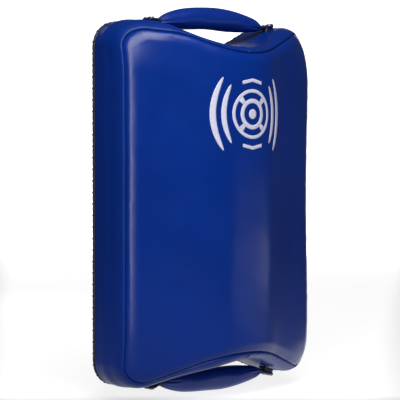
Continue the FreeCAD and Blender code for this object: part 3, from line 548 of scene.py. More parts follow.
def gusset(c, name, first, last):
    """Side strip from one end seam to the other. Across it: a quarter turn out from the front seam,
    a gently bowed side, and a quarter turn in to the laced edge."""
    seam, _ = seam_rim(c)
    full, normal = full_rim(c)
    back, _ = full_rim(c, c.edge_inset - 0.0012)
    spread = np.linspace(first, last, last - first + 1)
    near = np.array([0.15, 0.3, 0.45, 0.6, 0.8])
    spread = np.sort(np.concatenate([spread, first + near, last - near]))

    def at(loop):
        index = np.arange(first, last + 1)
        return np.stack([np.interp(spread, index, loop[index % len(loop), k]) for k in (0, 1)], -1)
    seam, full, back, normal = at(seam), at(full), at(back), unit(at(normal))
    run = np.concatenate([[0.0], np.cumsum(np.linalg.norm(np.diff(full, axis=0), axis=1))])
    to_end = np.minimum(run, run[-1] - run)
    share = spread / (4 * QUARTER)
    y0 = face_y(c, seam[:, 0], seam[:, 1]) + edge_drop(c, 0.0)
    out = full - seam
    reach = np.linalg.norm(out, axis=1)
    a = (np.linspace(0, 1, 18) ** 1.5 * np.pi / 2)[:, None]
    w = np.linspace(0, 1, 26)[1:, None]
    b = (np.linspace(0, 1, 10)[1:] * np.pi / 2)[:, None]
    y1 = y0 + c.turn_front
    y2 = -c.edge_roll * 2 - c.turn_back
    dipped = np.clip(1 - np.abs(full[:, 0]) / 0.12, 0, 1) * (np.abs(full[:, 1]) > 0.2)
    fold = 0.0004 * ripples(share, 42, 31) * dipped + 0.0005 * ripples(share, 17, 32)
    bow = np.sin(np.pi * w) ** 2
    swell = (c.puff * (1 + 0.35 * ripples(share, 9, 33)) + fold) * bow
    pinch = -0.0016 * bump(np.abs(full[:, 0]) - 0.134, 0.016) * (np.abs(full[:, 1]) > 0.2)
    press = pinch * bump((y1 + (y2 - y1) * w) + 0.057, 0.022)
    front = seam + out * np.sin(a)[..., None]
    side = full + normal * (swell + press)[..., None]
    tuck = full + (back - full) * (1 - np.cos(b))[..., None]
    xz = np.concatenate([front, side, tuck])
    y = np.concatenate([y0 + c.turn_front * (1 - np.cos(a)), y1 + (y2 - y1) * w,
                        y2 + c.turn_back * np.sin(b) + 0 * y0])
    gone = reach * np.sin(a)
    lip = 0.0011 * bump(gone - 0.0040, 0.0026) * (1 + 0.5 * ripples(share, 60, 34))
    y[:len(a)] += c.groove * bump(gone, c.groove_width) - lip
    across = np.arange(len(y))[:, None] / len(y)
    dive = c.groove * bump(to_end, 0.0013) - 0.0007 * bump(to_end - 0.0040, 0.0024)
    xz = xz - normal * (dive * np.clip(across * 12, 0, 1))[..., None]
    skin = Skin()
    skin.add(stuffed(c, np.stack([xz[..., 0], y, xz[..., 1]], -1)))
    return skin.build(name)


# ---- the back -----------------------------------------------------------------------------------
def even_rim(c, inset, steps):
    """The full outline moved in, as evenly spaced points and normals, (steps, 2) each."""
    loop, normal = full_rim(c, inset)
    both = np.concatenate([loop, normal], -1)
    closed = np.concatenate([both, both[:1]])
    run = np.concatenate([[0.0], np.cumsum(np.linalg.norm(np.diff(closed[:, :2], axis=0), axis=1))])
    at = np.arange(steps) * run[-1] / steps
    out = np.stack([np.interp(at, run, closed[:, k]) for k in range(4)], -1)
    return out[:, :2], unit(out[:, 2:]), run[-1]


def back_panel(c):
    """Flat panel: a filled grid, and a narrow band that rolls under the bound edge."""
    inner, _ = full_rim(c, c.edge_inset + c.edge_roll + 0.006)
    outer, _ = full_rim(c, c.edge_inset + c.edge_roll * 0.4)
    w = np.linspace(0, 1, 8)[:, None]
    flat = outer[None] + (inner - outer)[None] * w[..., None]
    level = -0.00035 + 0.0003 * dents(flat[..., 0], flat[..., 1], 0.09, 41) - 0.0022 * (1 - w) ** 2
    skin = Skin()
    skin.add(np.stack([flat[..., 0], level, flat[..., 1]], -1), close_columns=True)
    inside = filled(inner)
    x, z = inside[..., 0], inside[..., 1]
    skin.add(np.stack([x, -0.00035 + 0.0003 * dents(x, z, 0.09, 41), z], -1))
    return skin.build("back_cover")


def bound_edge(c):
    """Roll of leather round the back edge: a circle carried round the outline, pinched at each
    stitch of the lace."""
    _, _, run = even_rim(c, c.edge_inset, 8)
    stitches = round(run / c.lace_pitch)
    steps = stitches * 10
    loop, normal, _ = even_rim(c, c.edge_inset, steps)
    phase = (np.arange(steps) / 10) % 1
    pinch = 0.84 + 0.30 * np.sin(np.pi * phase) ** 0.7
    a = np.linspace(0, 2 * np.pi, 14, endpoint=False)
    radius = c.edge_roll * pinch[:, None]
    off = (radius * np.cos(a))[..., None]
    xz = loop[:, None] + normal[:, None] * off
    y = -c.edge_roll + radius * np.sin(a)
    skin = Skin()
    skin.add(np.stack([xz[..., 0], y, xz[..., 1]], -1), close_rows=True, close_columns=True)
    return skin.build("bound_edge")


def edge_lacing(c):
    """One slanted stitch at each pinch: it leaves the gusset, goes round the bound edge and down
    into the back panel, as part of a turn about the edge's middle."""
    _, _, run = even_rim(c, c.edge_inset, 8)
    stitches = round(run / c.lace_pitch)
    loop, normal, _ = even_rim(c, c.edge_inset, stitches)
    along = np.stack([-normal[:, 1], normal[:, 0]], -1)
    share = np.linspace(0, 1, 11)
    turn = np.radians(-125 + 265 * share)
    out = (c.edge_roll * 0.84 + c.lace_radius * 0.05) * (1 - 0.35 * np.abs(2 * share - 1) ** 8)
    slant = 0.0060 * (share - 0.5)
    xz = loop[:, None] + normal[:, None] * (out * np.cos(turn))[None, :, None]
    xz = xz + along[:, None] * slant[None, :, None]
    y = np.broadcast_to(-c.edge_roll + out * np.sin(turn), xz.shape[:2])
    path = np.stack([xz[..., 0], y, xz[..., 1]], -1)
    thick = c.lace_radius * np.clip(1 - np.abs(2 * share - 1) ** 12, 0.0, 1)
    sideways = np.stack([along[:, 0], 0 * along[:, 0], along[:, 1]], -1)[:, None]
    skin = Skin()
    skin.add_many(tube(path, np.broadcast_to(thick, path.shape[:2]), 6, sideways), close_columns=True)
    return skin.build("edge_lacing")


# ---- padded rolls -------------------------------------------------------------------------------
def roll_shape(half, radius, rise, sag, seed, leather=0.0):
    """Padded roll along X that bows towards +Z: z = rise - (rise + sag) times s squared, where s runs
    from -1 to 1. Its radius is full over the grip and drawn in at the ends, where the leather is
    gathered into pleats; each end is closed by a rounded mouth. With a leather thickness it is the
    filling inside that leather."""
    s = np.sin(np.linspace(-1, 1, 121) * np.pi / 2)
    half = half - 1.5 * leather
    x = half * s
    drawn = 1 - 0.80 * np.abs(s) ** 3.4
    r = (radius - leather) * drawn
    mouth = np.linspace(0, np.pi / 2, 7)[1:]
    end_r = r[-1] * np.cos(mouth) ** 0.8
    end_x = half + 0.0035 * np.sin(mouth)
    x = np.concatenate([-end_x[::-1], x, end_x])
    r = np.concatenate([end_r[::-1], r, end_r])
    a = np.linspace(0, 2 * np.pi, 72, endpoint=False)
    from_end = (half + 0.0035 - np.abs(x))[:, None]
    rng = np.random.default_rng(seed)
    pleats = np.zeros((len(x), len(a)))
    for count in (7, 11, 16):
        twist = rng.uniform(-25, 25)
        phase = rng.uniform(0, 2 * np.pi) + np.where(x > 0, rng.uniform(0, 2 * np.pi), 0)[:, None]
        pleats = pleats + np.sin(count * a + twist * from_end + phase)
    drawn = np.concatenate([np.full(6, drawn[0]), drawn, np.full(6, drawn[-1])])[:, None]
    gathered = 0.0009 * pleats * drawn * bump(from_end - 0.012, 0.020) * np.clip(from_end / 0.004, 0, 1)
    uneven = 0.0003 * np.sin(3 * a + 60 * x[:, None] + seed) + 0.0003 * np.sin(2 * a - 75 * x[:, None])
    seam_line = 0.0012 * bump((a + np.pi / 2 + np.pi) % (2 * np.pi) - np.pi, 0.10)
    full = np.clip(from_end / 0.03, 0, 1)
    radius_at = r[:, None] + (gathered + (uneven - seam_line) * full) * (leather == 0)
    radius_at[[0, -1]] = 0.0
    along = np.clip(x / half, -1, 1)
    z0 = rise - (rise + sag) * along ** 2
    slope = np.arctan(-2 * (rise + sag) * along / half)[:, None]
    up = radius_at * np.sin(a)
    px = x[:, None] - up * np.sin(slope)
    flat = 1 + 1.1 * along[:, None] ** 6
    return np.stack([px, radius_at * np.cos(a) * flat, z0[:, None] + up * np.cos(slope)], -1)


def end_handle(h, name, seed, up, hinge_z, rise, leather=0.0):
    """One end handle's roll, or its filling, in place; up is 1 at the top and -1 at the bottom."""
    roll = roll_shape(h.half_length, h.radius, rise, h.sag, seed, leather)
    roll = roll * [1, 1, up] + [0, h.line_y, hinge_z]
    skin = Skin()
    skin.add(roll, close_columns=True)
    return skin.build(name)


def end_neck(h, name, side, up, hinge_z):
    """Flat gathered leather between a roll's mouth and its tab."""
    x = np.linspace(h.half_length - 0.004, h.tab_inner + 0.006, 12)
    drop = h.sag * (1 - smooth(x, h.half_length - 0.002, h.tab_inner))
    points = np.stack([side * x, np.full(12, h.line_y), hinge_z - up * drop], -1)
    normals = np.tile([0.0, 0.0, float(up)], (12, 1))
    width = np.interp(x, [x[0], x[-1]], [0.62, 0.96])[:, None]
    section = strap_section(h.tab_width, h.tab_thick * 1.15, 9)
    grid = strap_along(points, normals, np.array([0.0, 1.0, 0.0]), section)
    middle = np.concatenate([points[:1], points, points[-1:]])[:, None]
    scale = np.concatenate([width[:1], width, width[-1:]])[:, None]
    grid = middle + (grid - middle) * np.concatenate([0 * scale + 1, scale, 0 * scale + 1], -1)
    skin = Skin()
    skin.add(grid, close_columns=True)
    return skin.build(name)


def end_tab(h, name, side, up, hinge_z):
    """Folded tab on the gusset: it leaves the hinge line, lies flat under its rivets and lifts at
    its free end. Its width narrows to that end as a quarter circle, so the corners are rounded."""
    level = h.tab_top - h.tab_thick / 2
    at = np.array([h.tab_inner + 0.003, 0.1235, 0.126, h.tab_outer - 0.0040, h.tab_outer])
    curl = 0.0042 if side > 0 else 0.0
    height = np.array([abs(hinge_z), abs(hinge_z), level, level, level + curl])
    x = at[0] + (at[-1] - at[0]) * np.linspace(0, 1, 30) ** 0.8
    z = np.interp(x, at, height)
    z = np.convolve(np.pad(z, 2, mode="edge"), np.ones(5) / 5, mode="valid")
    points = np.stack([side * x, np.full(30, h.line_y), up * z], -1)
    slope = np.gradient(z, x)
    normals = unit(np.stack([-side * slope, np.zeros(30), np.full(30, float(up))], -1))
    round_off = np.clip((x - (h.tab_outer - 0.006)) / 0.006, 0, 1)
    narrow = 1 - 0.45 * (1 - np.sqrt(1 - 0.98 * round_off ** 2))
    section = strap_section(h.tab_width, h.tab_thick, 11)
    grid = strap_along(points, normals, np.array([0.0, 1.0, 0.0]), section)
    share = np.concatenate([narrow[:1], narrow, narrow[-1:]])[:, None]
    grid[..., 1] = h.line_y + (grid[..., 1] - h.line_y) * share
    skin = Skin()
    skin.add(grid, close_columns=True)
    return skin.build(name)


def tab_wedge(c, h, name, side, up):
    """Padding under a tab: fills the slope between the gusset and the flat tab. It is made of the dark tab
    leather, as painted shade for the dark gap under the tab.
    """
    rows, sides = 14, 28
    x = np.linspace(h.tab_inner + 0.002, h.tab_outer - 0.001, rows)
    full, _ = full_rim(c)
    quarter = full[SIDE_STEPS:QUARTER + 1]
    low = np.interp(x, quarter[::-1, 0], quarter[::-1, 1]) - 0.003
    high = np.full(rows, h.tab_top - h.tab_thick * 0.8)
    middle, half = (high + low) / 2, np.maximum(high - low, 0.001) / 2
    a = np.linspace(0, 2 * np.pi, sides, endpoint=False)
    wide = (h.tab_width / 2 - 0.0022) * np.sign(np.cos(a)) * np.abs(np.cos(a)) ** 0.35
    tall = np.sign(np.sin(a)) * np.abs(np.sin(a)) ** 0.35
    ring = np.stack([np.broadcast_to(side * x[:, None], (rows, sides)),
                     h.line_y + np.broadcast_to(wide, (rows, sides)),
                     up * (middle[:, None] + half[:, None] * tall)], -1)
    centre = np.stack([side * x, np.full(rows, h.line_y), up * middle], -1)
    ends = [np.repeat(centre[k:k + 1, None], sides, axis=1) for k in (0, -1)]
    skin = Skin()
    skin.add(np.concatenate([ends[0], ring, ends[1]]), close_columns=True)
    return skin.build(name)


# ---- forearm straps -----------------------------------------------------------------------------
def in_space(plane, z):
    """Points of the XY plane, lifted to a height."""
    return np.concatenate([plane, np.full(plane.shape[:-1] + (1,), z)], -1)


def band_line(s, lift=0.0, from_end=0.0):
    """Middle line of the leather band, moved out by lift: foot, bend, rise and arch."""
    r, bend = s.arch_radius + lift, s.anchor_radius - lift
    start = (-s.arch_radius - s.anchor_radius - s.anchor_length, s.band_thick / 2 + 0.0001 + lift)
    rise = s.arch_y - (s.band_thick / 2 + 0.0001 + s.anchor_radius)
    turn = math.pi - s.band_end - from_end
    moves = [(s.anchor_length, 0.0), (bend * math.pi / 2, math.pi / 2), (rise, 0.0), (r * turn, -turn)]
    return bent_line(start, 0.0, moves, 0.003)


def strap_band(s, name, z):
    """Leather band along its middle line."""
    line, normal = band_line(s)
    section = strap_section(s.band_width, s.band_thick, 25)
    skin = Skin()
    skin.add(strap_along(in_space(line, z), in_space(normal, 0.0), np.array([0.0, 0.0, 1.0]), section),
             close_columns=True)
    return skin.build(name)


def strap_pad(s, name, z, seed):
    """Quilted lining under the arch: a pillow section carried along an arc, with sewn channels
    across it and soft sides."""
    radius = s.arch_radius - s.band_thick / 2 - 0.0003 - s.pad_thick / 2
    turn = math.pi - s.band_end - math.radians(13.0)
    moves = [(0.006, 0.0), (radius * turn, -turn)]
    line, normal = bent_line((-radius, s.arch_y - 0.006), math.pi / 2, moves, 0.002)
    rows = len(line)
    share = np.linspace(0, 1, rows)
    ends = np.clip(1 - np.abs(2 * share - 1) ** 14, 0, 1) ** 0.5
    channels = 1 - 0.42 * bump((share * 5 + 0.5) % 1 - 0.5, 0.07) * (share > 0.05) * (share < 0.95)
    a = np.linspace(0, 2 * np.pi, 44, endpoint=False)
    across = np.sign(np.cos(a)) * np.abs(np.cos(a)) ** 0.55
    out = np.sign(np.sin(a)) * np.abs(np.sin(a)) ** 0.75
    outer = np.where(out > 0, 1.0, channels[:, None])
    thick = s.pad_thick / 2 * ends[:, None] * outer * out
    soft = 1 - 0.02 * (1 - channels[:, None]) / 0.42 + 0.006 * ripples(share, 7, seed)[:, None]
    wide = s.pad_width / 2 * across * soft * np.clip(ends[:, None] + 0.5, 0, 1)
    grid = (in_space(line, z)[:, None] + in_space(normal, 0.0)[:, None] * thick[..., None]
            + np.array([0.0, 0.0, 1.0]) * wide[..., None])
    skin = Skin()
    skin.add(grid, close_columns=True)
    return skin.build(name)


def closure_line(s):
    """Closing strap: from under the band's end, down and round the ring's outer bar."""
    radius = s.arch_radius - s.band_thick / 2 - s.closure_thick / 2 - 0.0001
    start = s.band_end + math.radians(11.0)
    fold = (s.ring_x + s.fold_radius - radius) / 2
    at = (radius * math.cos(start), s.arch_y + radius * math.sin(start))
    up = s.tail_hinge_y - s.arch_y - s.closure_thick / 2 - 0.0003
    moves = [(radius * start, -start), (fold * math.pi, math.pi), (up, 0.0)]
    return bent_line(at, start - math.pi / 2, moves, 0.0012)


def tail_line(s, lift=0.0, begin=None, end=None):
    """Free end of the closing strap: straight from its hinge until it touches the arch, then round
    it. With begin and end, only the part of the arch between those angles."""
    radius = s.arch_radius + s.band_thick / 2 + 2 * s.tape_thick + 0.0006 + s.closure_thick / 2 + lift
    stop = s.tail_end if end is None else end
    if begin is not None:
        at = (radius * math.cos(begin), s.arch_y + radius * math.sin(begin))
        return bent_line(at, begin + math.pi / 2, [(radius * (stop - begin), stop - begin)], 0.002)
    dx, dy = s.ring_x + s.fold_radius, s.tail_hinge_y - s.arch_y
    far = math.hypot(dx, dy)
    touch = math.atan2(dy, dx) + math.acos((radius - lift) / far)
    run = math.sqrt(far ** 2 - (radius - lift) ** 2)
    start = (dx + lift * math.cos(touch), s.tail_hinge_y + lift * math.sin(touch))
    moves = [(run, 0.0), (radius * (stop - touch), stop - touch)]
    return bent_line(start, touch + math.pi / 2, moves, 0.002)


def flat_strap(name, line, normal, z, width, thick, steps=15):
    """A strap of even width along a line of the XY plane."""
    section = strap_section(width, thick, steps)
    skin = Skin()
    skin.add(strap_along(in_space(line, z), in_space(normal, 0.0), np.array([0.0, 0.0, 1.0]), section),
             close_columns=True)
    return skin.build(name)


def ring_tab(s, name, z):
    """Leather tab folded round the ring's bar and sewn down: two layers and the loop between them."""
    thick = 0.0020
    loop = 0.0031
    low = 0.0001 + thick / 2
    gap = s.ring_bar_y - loop - low
    x_end = s.ring_x + s.ring_tab_length
    drop = max(gap, 0.0004)
    ease = 0.010
    slope = math.atan2(drop, ease)
    moves = [(s.ring_tab_length - 0.4 * ease, 0.0), (ease * 0.5, slope), (ease * 0.5, -slope),
             (loop * math.pi * 0.98, -math.pi * 0.98), (s.ring_tab_length - 0.002, -0.02 * math.pi)]
    line, normal = bent_line((x_end, low), math.pi, moves, 0.0009)
    return flat_strap(name, line, normal, z, s.ring_tab_width, thick, 15)


def edge_stitches(name, line, normal, z, half_width, radius=0.00042):
    """Two rows of stitches on the outside of a strap, near its edges."""
    skin = Skin()
    for side in (-1, 1):
        points = in_space(line, z + side * half_width)
        dashes = stitch_dashes(points, in_space(normal, 0.0), 0.0034, 0.0016, radius)
        skin.add_many(dashes, close_columns=True)
    return skin.build(name)


# ---- materials ----------------------------------------------------------------------------------
class Nodes:
    """Small helper that adds linked shader nodes to one material."""

    def __init__(self, name):
        self.material = bpy.data.materials.new(name)
        self.material.use_nodes = True
        self.tree = self.material.node_tree
        self.shader = self.tree.nodes["Principled BSDF"]
        self.place = self.tree.nodes.new("ShaderNodeTexCoord")

    def add(self, kind, links=(), **values):
        """New node with its settings, its inputs linked to sockets or set to values."""
        node = self.tree.nodes.new(kind)
        for key, value in values.items():
            setattr(node, key, value)
        for socket, source in dict(links).items():
            if isinstance(source, bpy.types.NodeSocket):
                self.tree.links.new(source, node.inputs[socket])
            else:
                node.inputs[socket].default_value = source
        return node

    def noise(self, scale, detail=3.0, rough=0.5, where=None):
        """Cloudy noise on object coordinates, 0 to 1."""
        where = self.place.outputs["Object"] if where is None else where
        node = self.add("ShaderNodeTexNoise", {"Vector": where, "Scale": scale, "Detail": detail,
                                               "Roughness": rough})
        return node.outputs["Fac"]

    def pebbles(self, scale):
        """Leather grain: distance to the middle of each cell."""
        cells = self.add("ShaderNodeTexVoronoi", {"Vector": self.place.outputs["Object"], "Scale": scale})
        return cells.outputs["Distance"]

    def ranged(self, value, low, high, from_low=0.3, from_high=0.7):
        """The value moved from one range to another."""
        node = self.add("ShaderNodeMapRange", {"Value": value, "From Min": from_low, "From Max": from_high,
                                               "To Min": low, "To Max": high})
        return node.outputs["Result"]

    def math(self, operation, a, b):
        """One sum of two sockets or numbers."""
        return self.add("ShaderNodeMath", {0: a, 1: b}, operation=operation).outputs[0]

    def mixed(self, share, a, b):
        """Colour between a and b by the share."""
        node = self.add("ShaderNodeMix", {0: share}, data_type="RGBA")
        node.inputs[6].default_value = (*a, 1.0)
        node.inputs[7].default_value = (*b, 1.0)
        return node.outputs[2]

    def bumped(self, layers):
        """Chain of bump nodes, each (height socket, strength, distance)."""
        normal = None
        for height, strength, distance in layers:
            links = {"Height": height, "Strength": strength, "Distance": distance}
            if normal is not None:
                links["Normal"] = normal
            normal = self.add("ShaderNodeBump", links).outputs["Normal"]
        self.tree.links.new(normal, self.shader.inputs["Normal"])

    def paint(self, colour_socket, rough_socket):
        """Link the colour and the roughness to the shader."""
        self.tree.links.new(colour_socket, self.shader.inputs["Base Color"])
        self.tree.links.new(rough_socket, self.shader.inputs["Roughness"])

    def fixed(self, **values):
        """Set shader sockets to constants and give the finished material."""
        for key, value in values.items():
            self.shader.inputs[key.replace("_", " ")].default_value = value
        return self.material


def tinted(colour_value, factor):
    """A colour made darker or lighter by a factor."""
    return tuple(min(1.0, c * factor) for c in colour_value)


def leather(name, base, rough=(0.30, 0.40), grain=1100.0, depth=0.00003, specular=0.25, soft=0.0005):
    """Smooth coated leather: cloudy colour, fine pebbled grain, and slow waves that bend reflections."""
    n = Nodes(name)
    cloud = n.noise(7.0, 4.0)
    fine = n.noise(140.0, 2.0)
    share = n.ranged(n.math("ADD", cloud, n.math("MULTIPLY", fine, 0.12)), 0.0, 1.0, 0.25, 0.85)
    shade = n.mixed(share, tinted(base, 0.84), tinted(base, 1.14))
    rub = n.noise(22.0, 5.0, 0.6)
    n.paint(shade, n.ranged(rub, rough[0], rough[1]))
    cells = n.pebbles(grain)
    n.bumped([(n.noise(16.0, 2.0), 0.5, soft), (n.noise(90.0, 2.0), 0.25, 0.0004), (cells, 0.5, depth)])
    return n.fixed(Specular_IOR_Level=specular)


def woven(name, base, pitch=0.0016, rough=0.75):
    """Woven cloth on the piece's own UV map: two crossed sine ribs, with painted shade between the threads
    and painted light on the raised threads.
    """
    n = Nodes(name)
    split = n.add("ShaderNodeSeparateXYZ", {0: n.place.outputs["UV"]})
    ribs = []
    for axis in ("X", "Y"):
        turned = n.math("MULTIPLY", split.outputs[axis], 2 * math.pi / pitch)
        ribs.append(n.math("SINE", turned, 0.0))
    weave = n.math("MULTIPLY", ribs[0], ribs[1])
    share = n.ranged(weave, 0.0, 1.0, -1.0, 1.0)
    worn = n.noise(60.0, 3.0)
    # Colour follows the rib height: painted shade in the dips between threads, painted light on the raised
    # threads.
    shade = n.mixed(share, tinted(base, 0.55), tinted(base, 1.6))
    n.paint(shade, n.ranged(worn, rough - 0.08, rough + 0.1))
    n.bumped([(worn, 0.2, 0.0004), (weave, 0.6, 0.00022)])
    return n.fixed(Specular_IOR_Level=0.25, Sheen_Weight=0.25, Sheen_Roughness=0.5)


def fuzzy(name, base, grain, depth):
    """Hook or loop tape, felt and foam: close speckle with a soft sheen."""
    n = Nodes(name)
    speck = n.noise(grain, 4.0, 0.7)
    patch = n.noise(grain / 14.0, 2.0)
    shade = n.mixed(n.ranged(speck, 0.0, 1.0), tinted(base, 0.6), tinted(base, 1.4))
    n.paint(shade, n.ranged(patch, 0.82, 0.97))
    n.bumped([(speck, 0.8, depth)])
    return n.fixed(Specular_IOR_Level=0.2, Sheen_Weight=0.3, Sheen_Roughness=0.6)


def plated(name, base, rough):
    """Nickel plate: faint brushing and small dull patches."""
    n = Nodes(name)
    dull = n.noise(220.0, 4.0, 0.6)
    shade = n.mixed(n.ranged(dull, 0.0, 1.0), tinted(base, 0.8), base)
    n.paint(shade, n.ranged(n.noise(500.0, 3.0), rough, rough + 0.18))
    n.bumped([(dull, 0.15, 0.0001)])
    return n.fixed(Metallic=1.0)


def printed(name, base):
    """Silver print on leather: slightly broken cover that follows the grain."""
    n = Nodes(name)
    worn = n.noise(420.0, 5.0, 0.65)
    shade = n.mixed(n.ranged(worn, 0.0, 1.0, 0.25, 0.5), tinted(base, 0.72), base)
    n.paint(shade, n.ranged(n.noise(60.0, 3.0), 0.38, 0.55))
    cells = n.pebbles(1100.0)
    n.bumped([(cells, 0.4, 0.00004)])
    return n.fixed(Specular_IOR_Level=0.4)


def thread(name, base):
    """Twisted thread: fine slanting ribs, with painted shade in the grooves between them and painted light
    on the rib tops.
    """
    n = Nodes(name)
    links = {"Vector": n.place.outputs["Object"], "Scale": 900.0, "Distortion": 1.5}
    wave = n.add("ShaderNodeTexWave", links, bands_direction="DIAGONAL").outputs["Fac"]
    # Colour follows the rib wave: painted shade in the grooves, painted light on the rib tops.
    shade = n.mixed(n.ranged(wave, 0.0, 1.0), tinted(base, 0.7), tinted(base, 1.2))
    n.paint(shade, n.ranged(n.noise(300.0), 0.55, 0.75))
    n.bumped([(wave, 0.5, 0.0001)])
    return n.fixed(Specular_IOR_Level=0.3)


MATERIALS = {}


def make_materials():
    """Every finish of the shield, by its record slot, and the thread."""
    f = settings().finishes
    MATERIALS.update({
        "front_leather": leather("front_leather", f.front_blue, (0.20, 0.27)),
        "gusset_leather": leather("gusset_leather", f.side_blue, (0.33, 0.40), depth=0.00001,
                                  specular=0.17, soft=0.00008),
        "back_leather": leather("back_leather", f.black, (0.42, 0.56), 800.0, 0.0001),
        "edge_leather": leather("edge_leather", f.black, (0.36, 0.48), 1400.0),
        "lace_cord": thread("lace_cord", tinted(f.black, 1.3)),
        "handle_leather": leather("handle_leather", f.handle_blue, (0.29, 0.38), 1300.0, 0.00005,
                                  0.25, 0.0008),
        "tab_leather": leather("tab_leather", (0.006, 0.008, 0.040), (0.34, 0.46), 1300.0),
        "strap_leather": leather("strap_leather", f.side_blue, (0.33, 0.44)),
        "pad_lining": woven("pad_lining", f.lining, 0.0011, 0.8),
        "webbing": woven("webbing", f.web, 0.0022, 0.62),
        "hook_tape": fuzzy("hook_tape", f.web, 1500.0, 0.0005),
        "loop_tape": fuzzy("loop_tape", tinted(f.web, 1.5), 900.0, 0.0007),
        "roll_foam": fuzzy("roll_foam", (0.55, 0.53, 0.47), 700.0, 0.0004),
        "striking_foam": fuzzy("striking_foam", (0.60, 0.58, 0.52), 600.0, 0.0005),
        "core_foam": fuzzy("core_foam", (0.36, 0.38, 0.40), 500.0, 0.0005),
        "base_foam": fuzzy("base_foam", (0.10, 0.105, 0.115), 450.0, 0.0004),
        "ring_steel": plated("ring_steel", (0.62, 0.62, 0.64), 0.16),
        "rivet_metal": plated("rivet_metal", (0.42, 0.42, 0.46), 0.24),
        "blue_thread": thread("blue_thread", (0.02, 0.06, 0.32)),
        "black_thread": thread("black_thread", (0.055, 0.055, 0.065)),
        "silver_print": printed("silver_print", f.silver),
    })


# ---- operators ----------------------------------------------------------------------------------
class MakeFinishes(bpy.types.Operator):
    """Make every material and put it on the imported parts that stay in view"""
    bl_idname = "kick_shield.finishes"
    bl_label = "Finishes"

    def execute(self, context):
        make_materials()
        slots = {row["node"]: row["material_slot"] for row in frame["record"]["subparts"]}
        for name, node in frame["nodes"].items():
            node.data.materials.clear()
            node.data.materials.append(MATERIALS[slots[name]])
        return {"FINISHED"}


class MakeCover(bpy.types.Operator):
    """Make the striking panel and the two gussets"""
    bl_idname = "kick_shield.cover"
    bl_label = "Cover"

    def execute(self, context):
        c = settings().cover
        panel = striking_panel(c)
        in_place(panel, "shield", MATERIALS["front_leather"], ["front_panel"])
        filling = striking_stuffing(c)
        in_place(filling, "shield", MATERIALS["striking_foam"], ["striking_foam"])
        core = stuffing_block(c, "core_stuffing", 0.0075,
                              lambda x, z: np.minimum(face_y(c, x, z) + 0.0485, -0.027), -0.0223)
        in_place(core, "shield", MATERIALS["core_foam"], ["core_foam"])
        base = stuffing_block(c, "base_stuffing", 0.0095,
                              lambda x, z: np.full(np.shape(x), -0.022), -0.0036)
        in_place(base, "shield", MATERIALS["base_foam"], ["base_foam"])
        sides = (("left_side", QUARTER, "left_gusset"), ("right_side", 3 * QUARTER, "right_gusset"))
        for name, first, node in sides:
            side = gusset(c, name, first, first + 2 * QUARTER)
            in_place(side, "shield", MATERIALS["gusset_leather"], [node])
        return {"FINISHED"}


class MakeBack(bpy.types.Operator):
    """Make the back panel, its bound edge and the lacing"""
    bl_idname = "kick_shield.back"
    bl_label = "Back"

    def execute(self, context):
        c = settings().cover
        in_place(back_panel(c), "shield", MATERIALS["back_leather"], ["back_panel"])
        in_place(bound_edge(c), "shield", MATERIALS["edge_leather"], ["back_welt"])
        in_place(edge_lacing(c), "shield", MATERIALS["lace_cord"], ["back_lacing"])
        return {"FINISHED"}


def mark_patch(c, f, x, z):
    """A printed patch: a grid of (x, z) offsets laid just over the striking face, its rim let down
    to the leather."""
    z = z + f.mark_z
    y = face_y(c, x, z) - 0.00030
    y[[0, -1]] += 0.00035
    return stuffed(c, np.stack([x, y, z], -1))


def ring_patch(f, inner, outer, first=0.0, last=360.0):
    """Part of a ring between two shares of the mark's radius and two angles from +X, in degrees."""
    r = f.mark_radius * np.linspace(inner, outer, 5)
    r = np.concatenate([r[:1], r, r[-1:]])[:, None]
    a = np.radians(np.linspace(first, last, max(9, int(abs(last - first) / 2))))[None]
    return r * np.cos(a), r * np.sin(a)


def bar_patch(f, centre, thick, bow, height):
    """Upright bar that bows sideways: x = centre + bow times (z / height) squared, tapering to its tips."""
    v = np.linspace(-1, 1, 41)[None]
    w = np.array([-1, -1, -0.5, 0, 0.5, 1, 1])[:, None]
    x = centre - bow * v ** 2 + w * thick / 2 * np.sqrt(1.02 - np.abs(v) ** 3) * np.sign(centre)
    return x, np.broadcast_to(height * v, x.shape).copy()


class MakeMark(bpy.types.Operator):
    """Print the plain mark on the striking face: rings round a dot, between upright bars"""
    bl_idname = "kick_shield.mark"
    bl_label = "Printed mark"

    def execute(self, context):
        c, f = settings().cover, settings().finishes
        skin = Skin()
        for inner, outer in ((0.86, 1.0), (0.44, 0.62), (0.0005, 0.2)):
            skin.add(mark_patch(c, f, *ring_patch(f, inner, outer)))
        for turn in (45, 135, 225, 315):
            skin.add(mark_patch(c, f, *ring_patch(f, 0.615, 0.865, turn - 8, turn + 8)))
        for side in (-1, 1):
            for centre, thick, bow, share in ((0.054, 0.0085, 0.012, 0.80), (0.071, 0.0095, 0.016, 1.0)):
                bar = bar_patch(f, side * centre, thick, side * bow, f.mark_height * share)
                skin.add(mark_patch(c, f, *bar))
        for up in (-1, 1):
            x = np.linspace(-0.021, 0.021, 17)[None]
            w = np.array([-1, -1, -0.5, 0, 0.5, 1, 1])[:, None]
            z = up * (f.mark_height - 0.0035 - 0.35 * np.abs(x) * 0.6) + 0.0028 * w
            skin.add(mark_patch(c, f, np.broadcast_to(x, z.shape).copy(), z))
        in_place(skin.build("printed_mark"), "shield", MATERIALS["silver_print"])
        return {"FINISHED"}


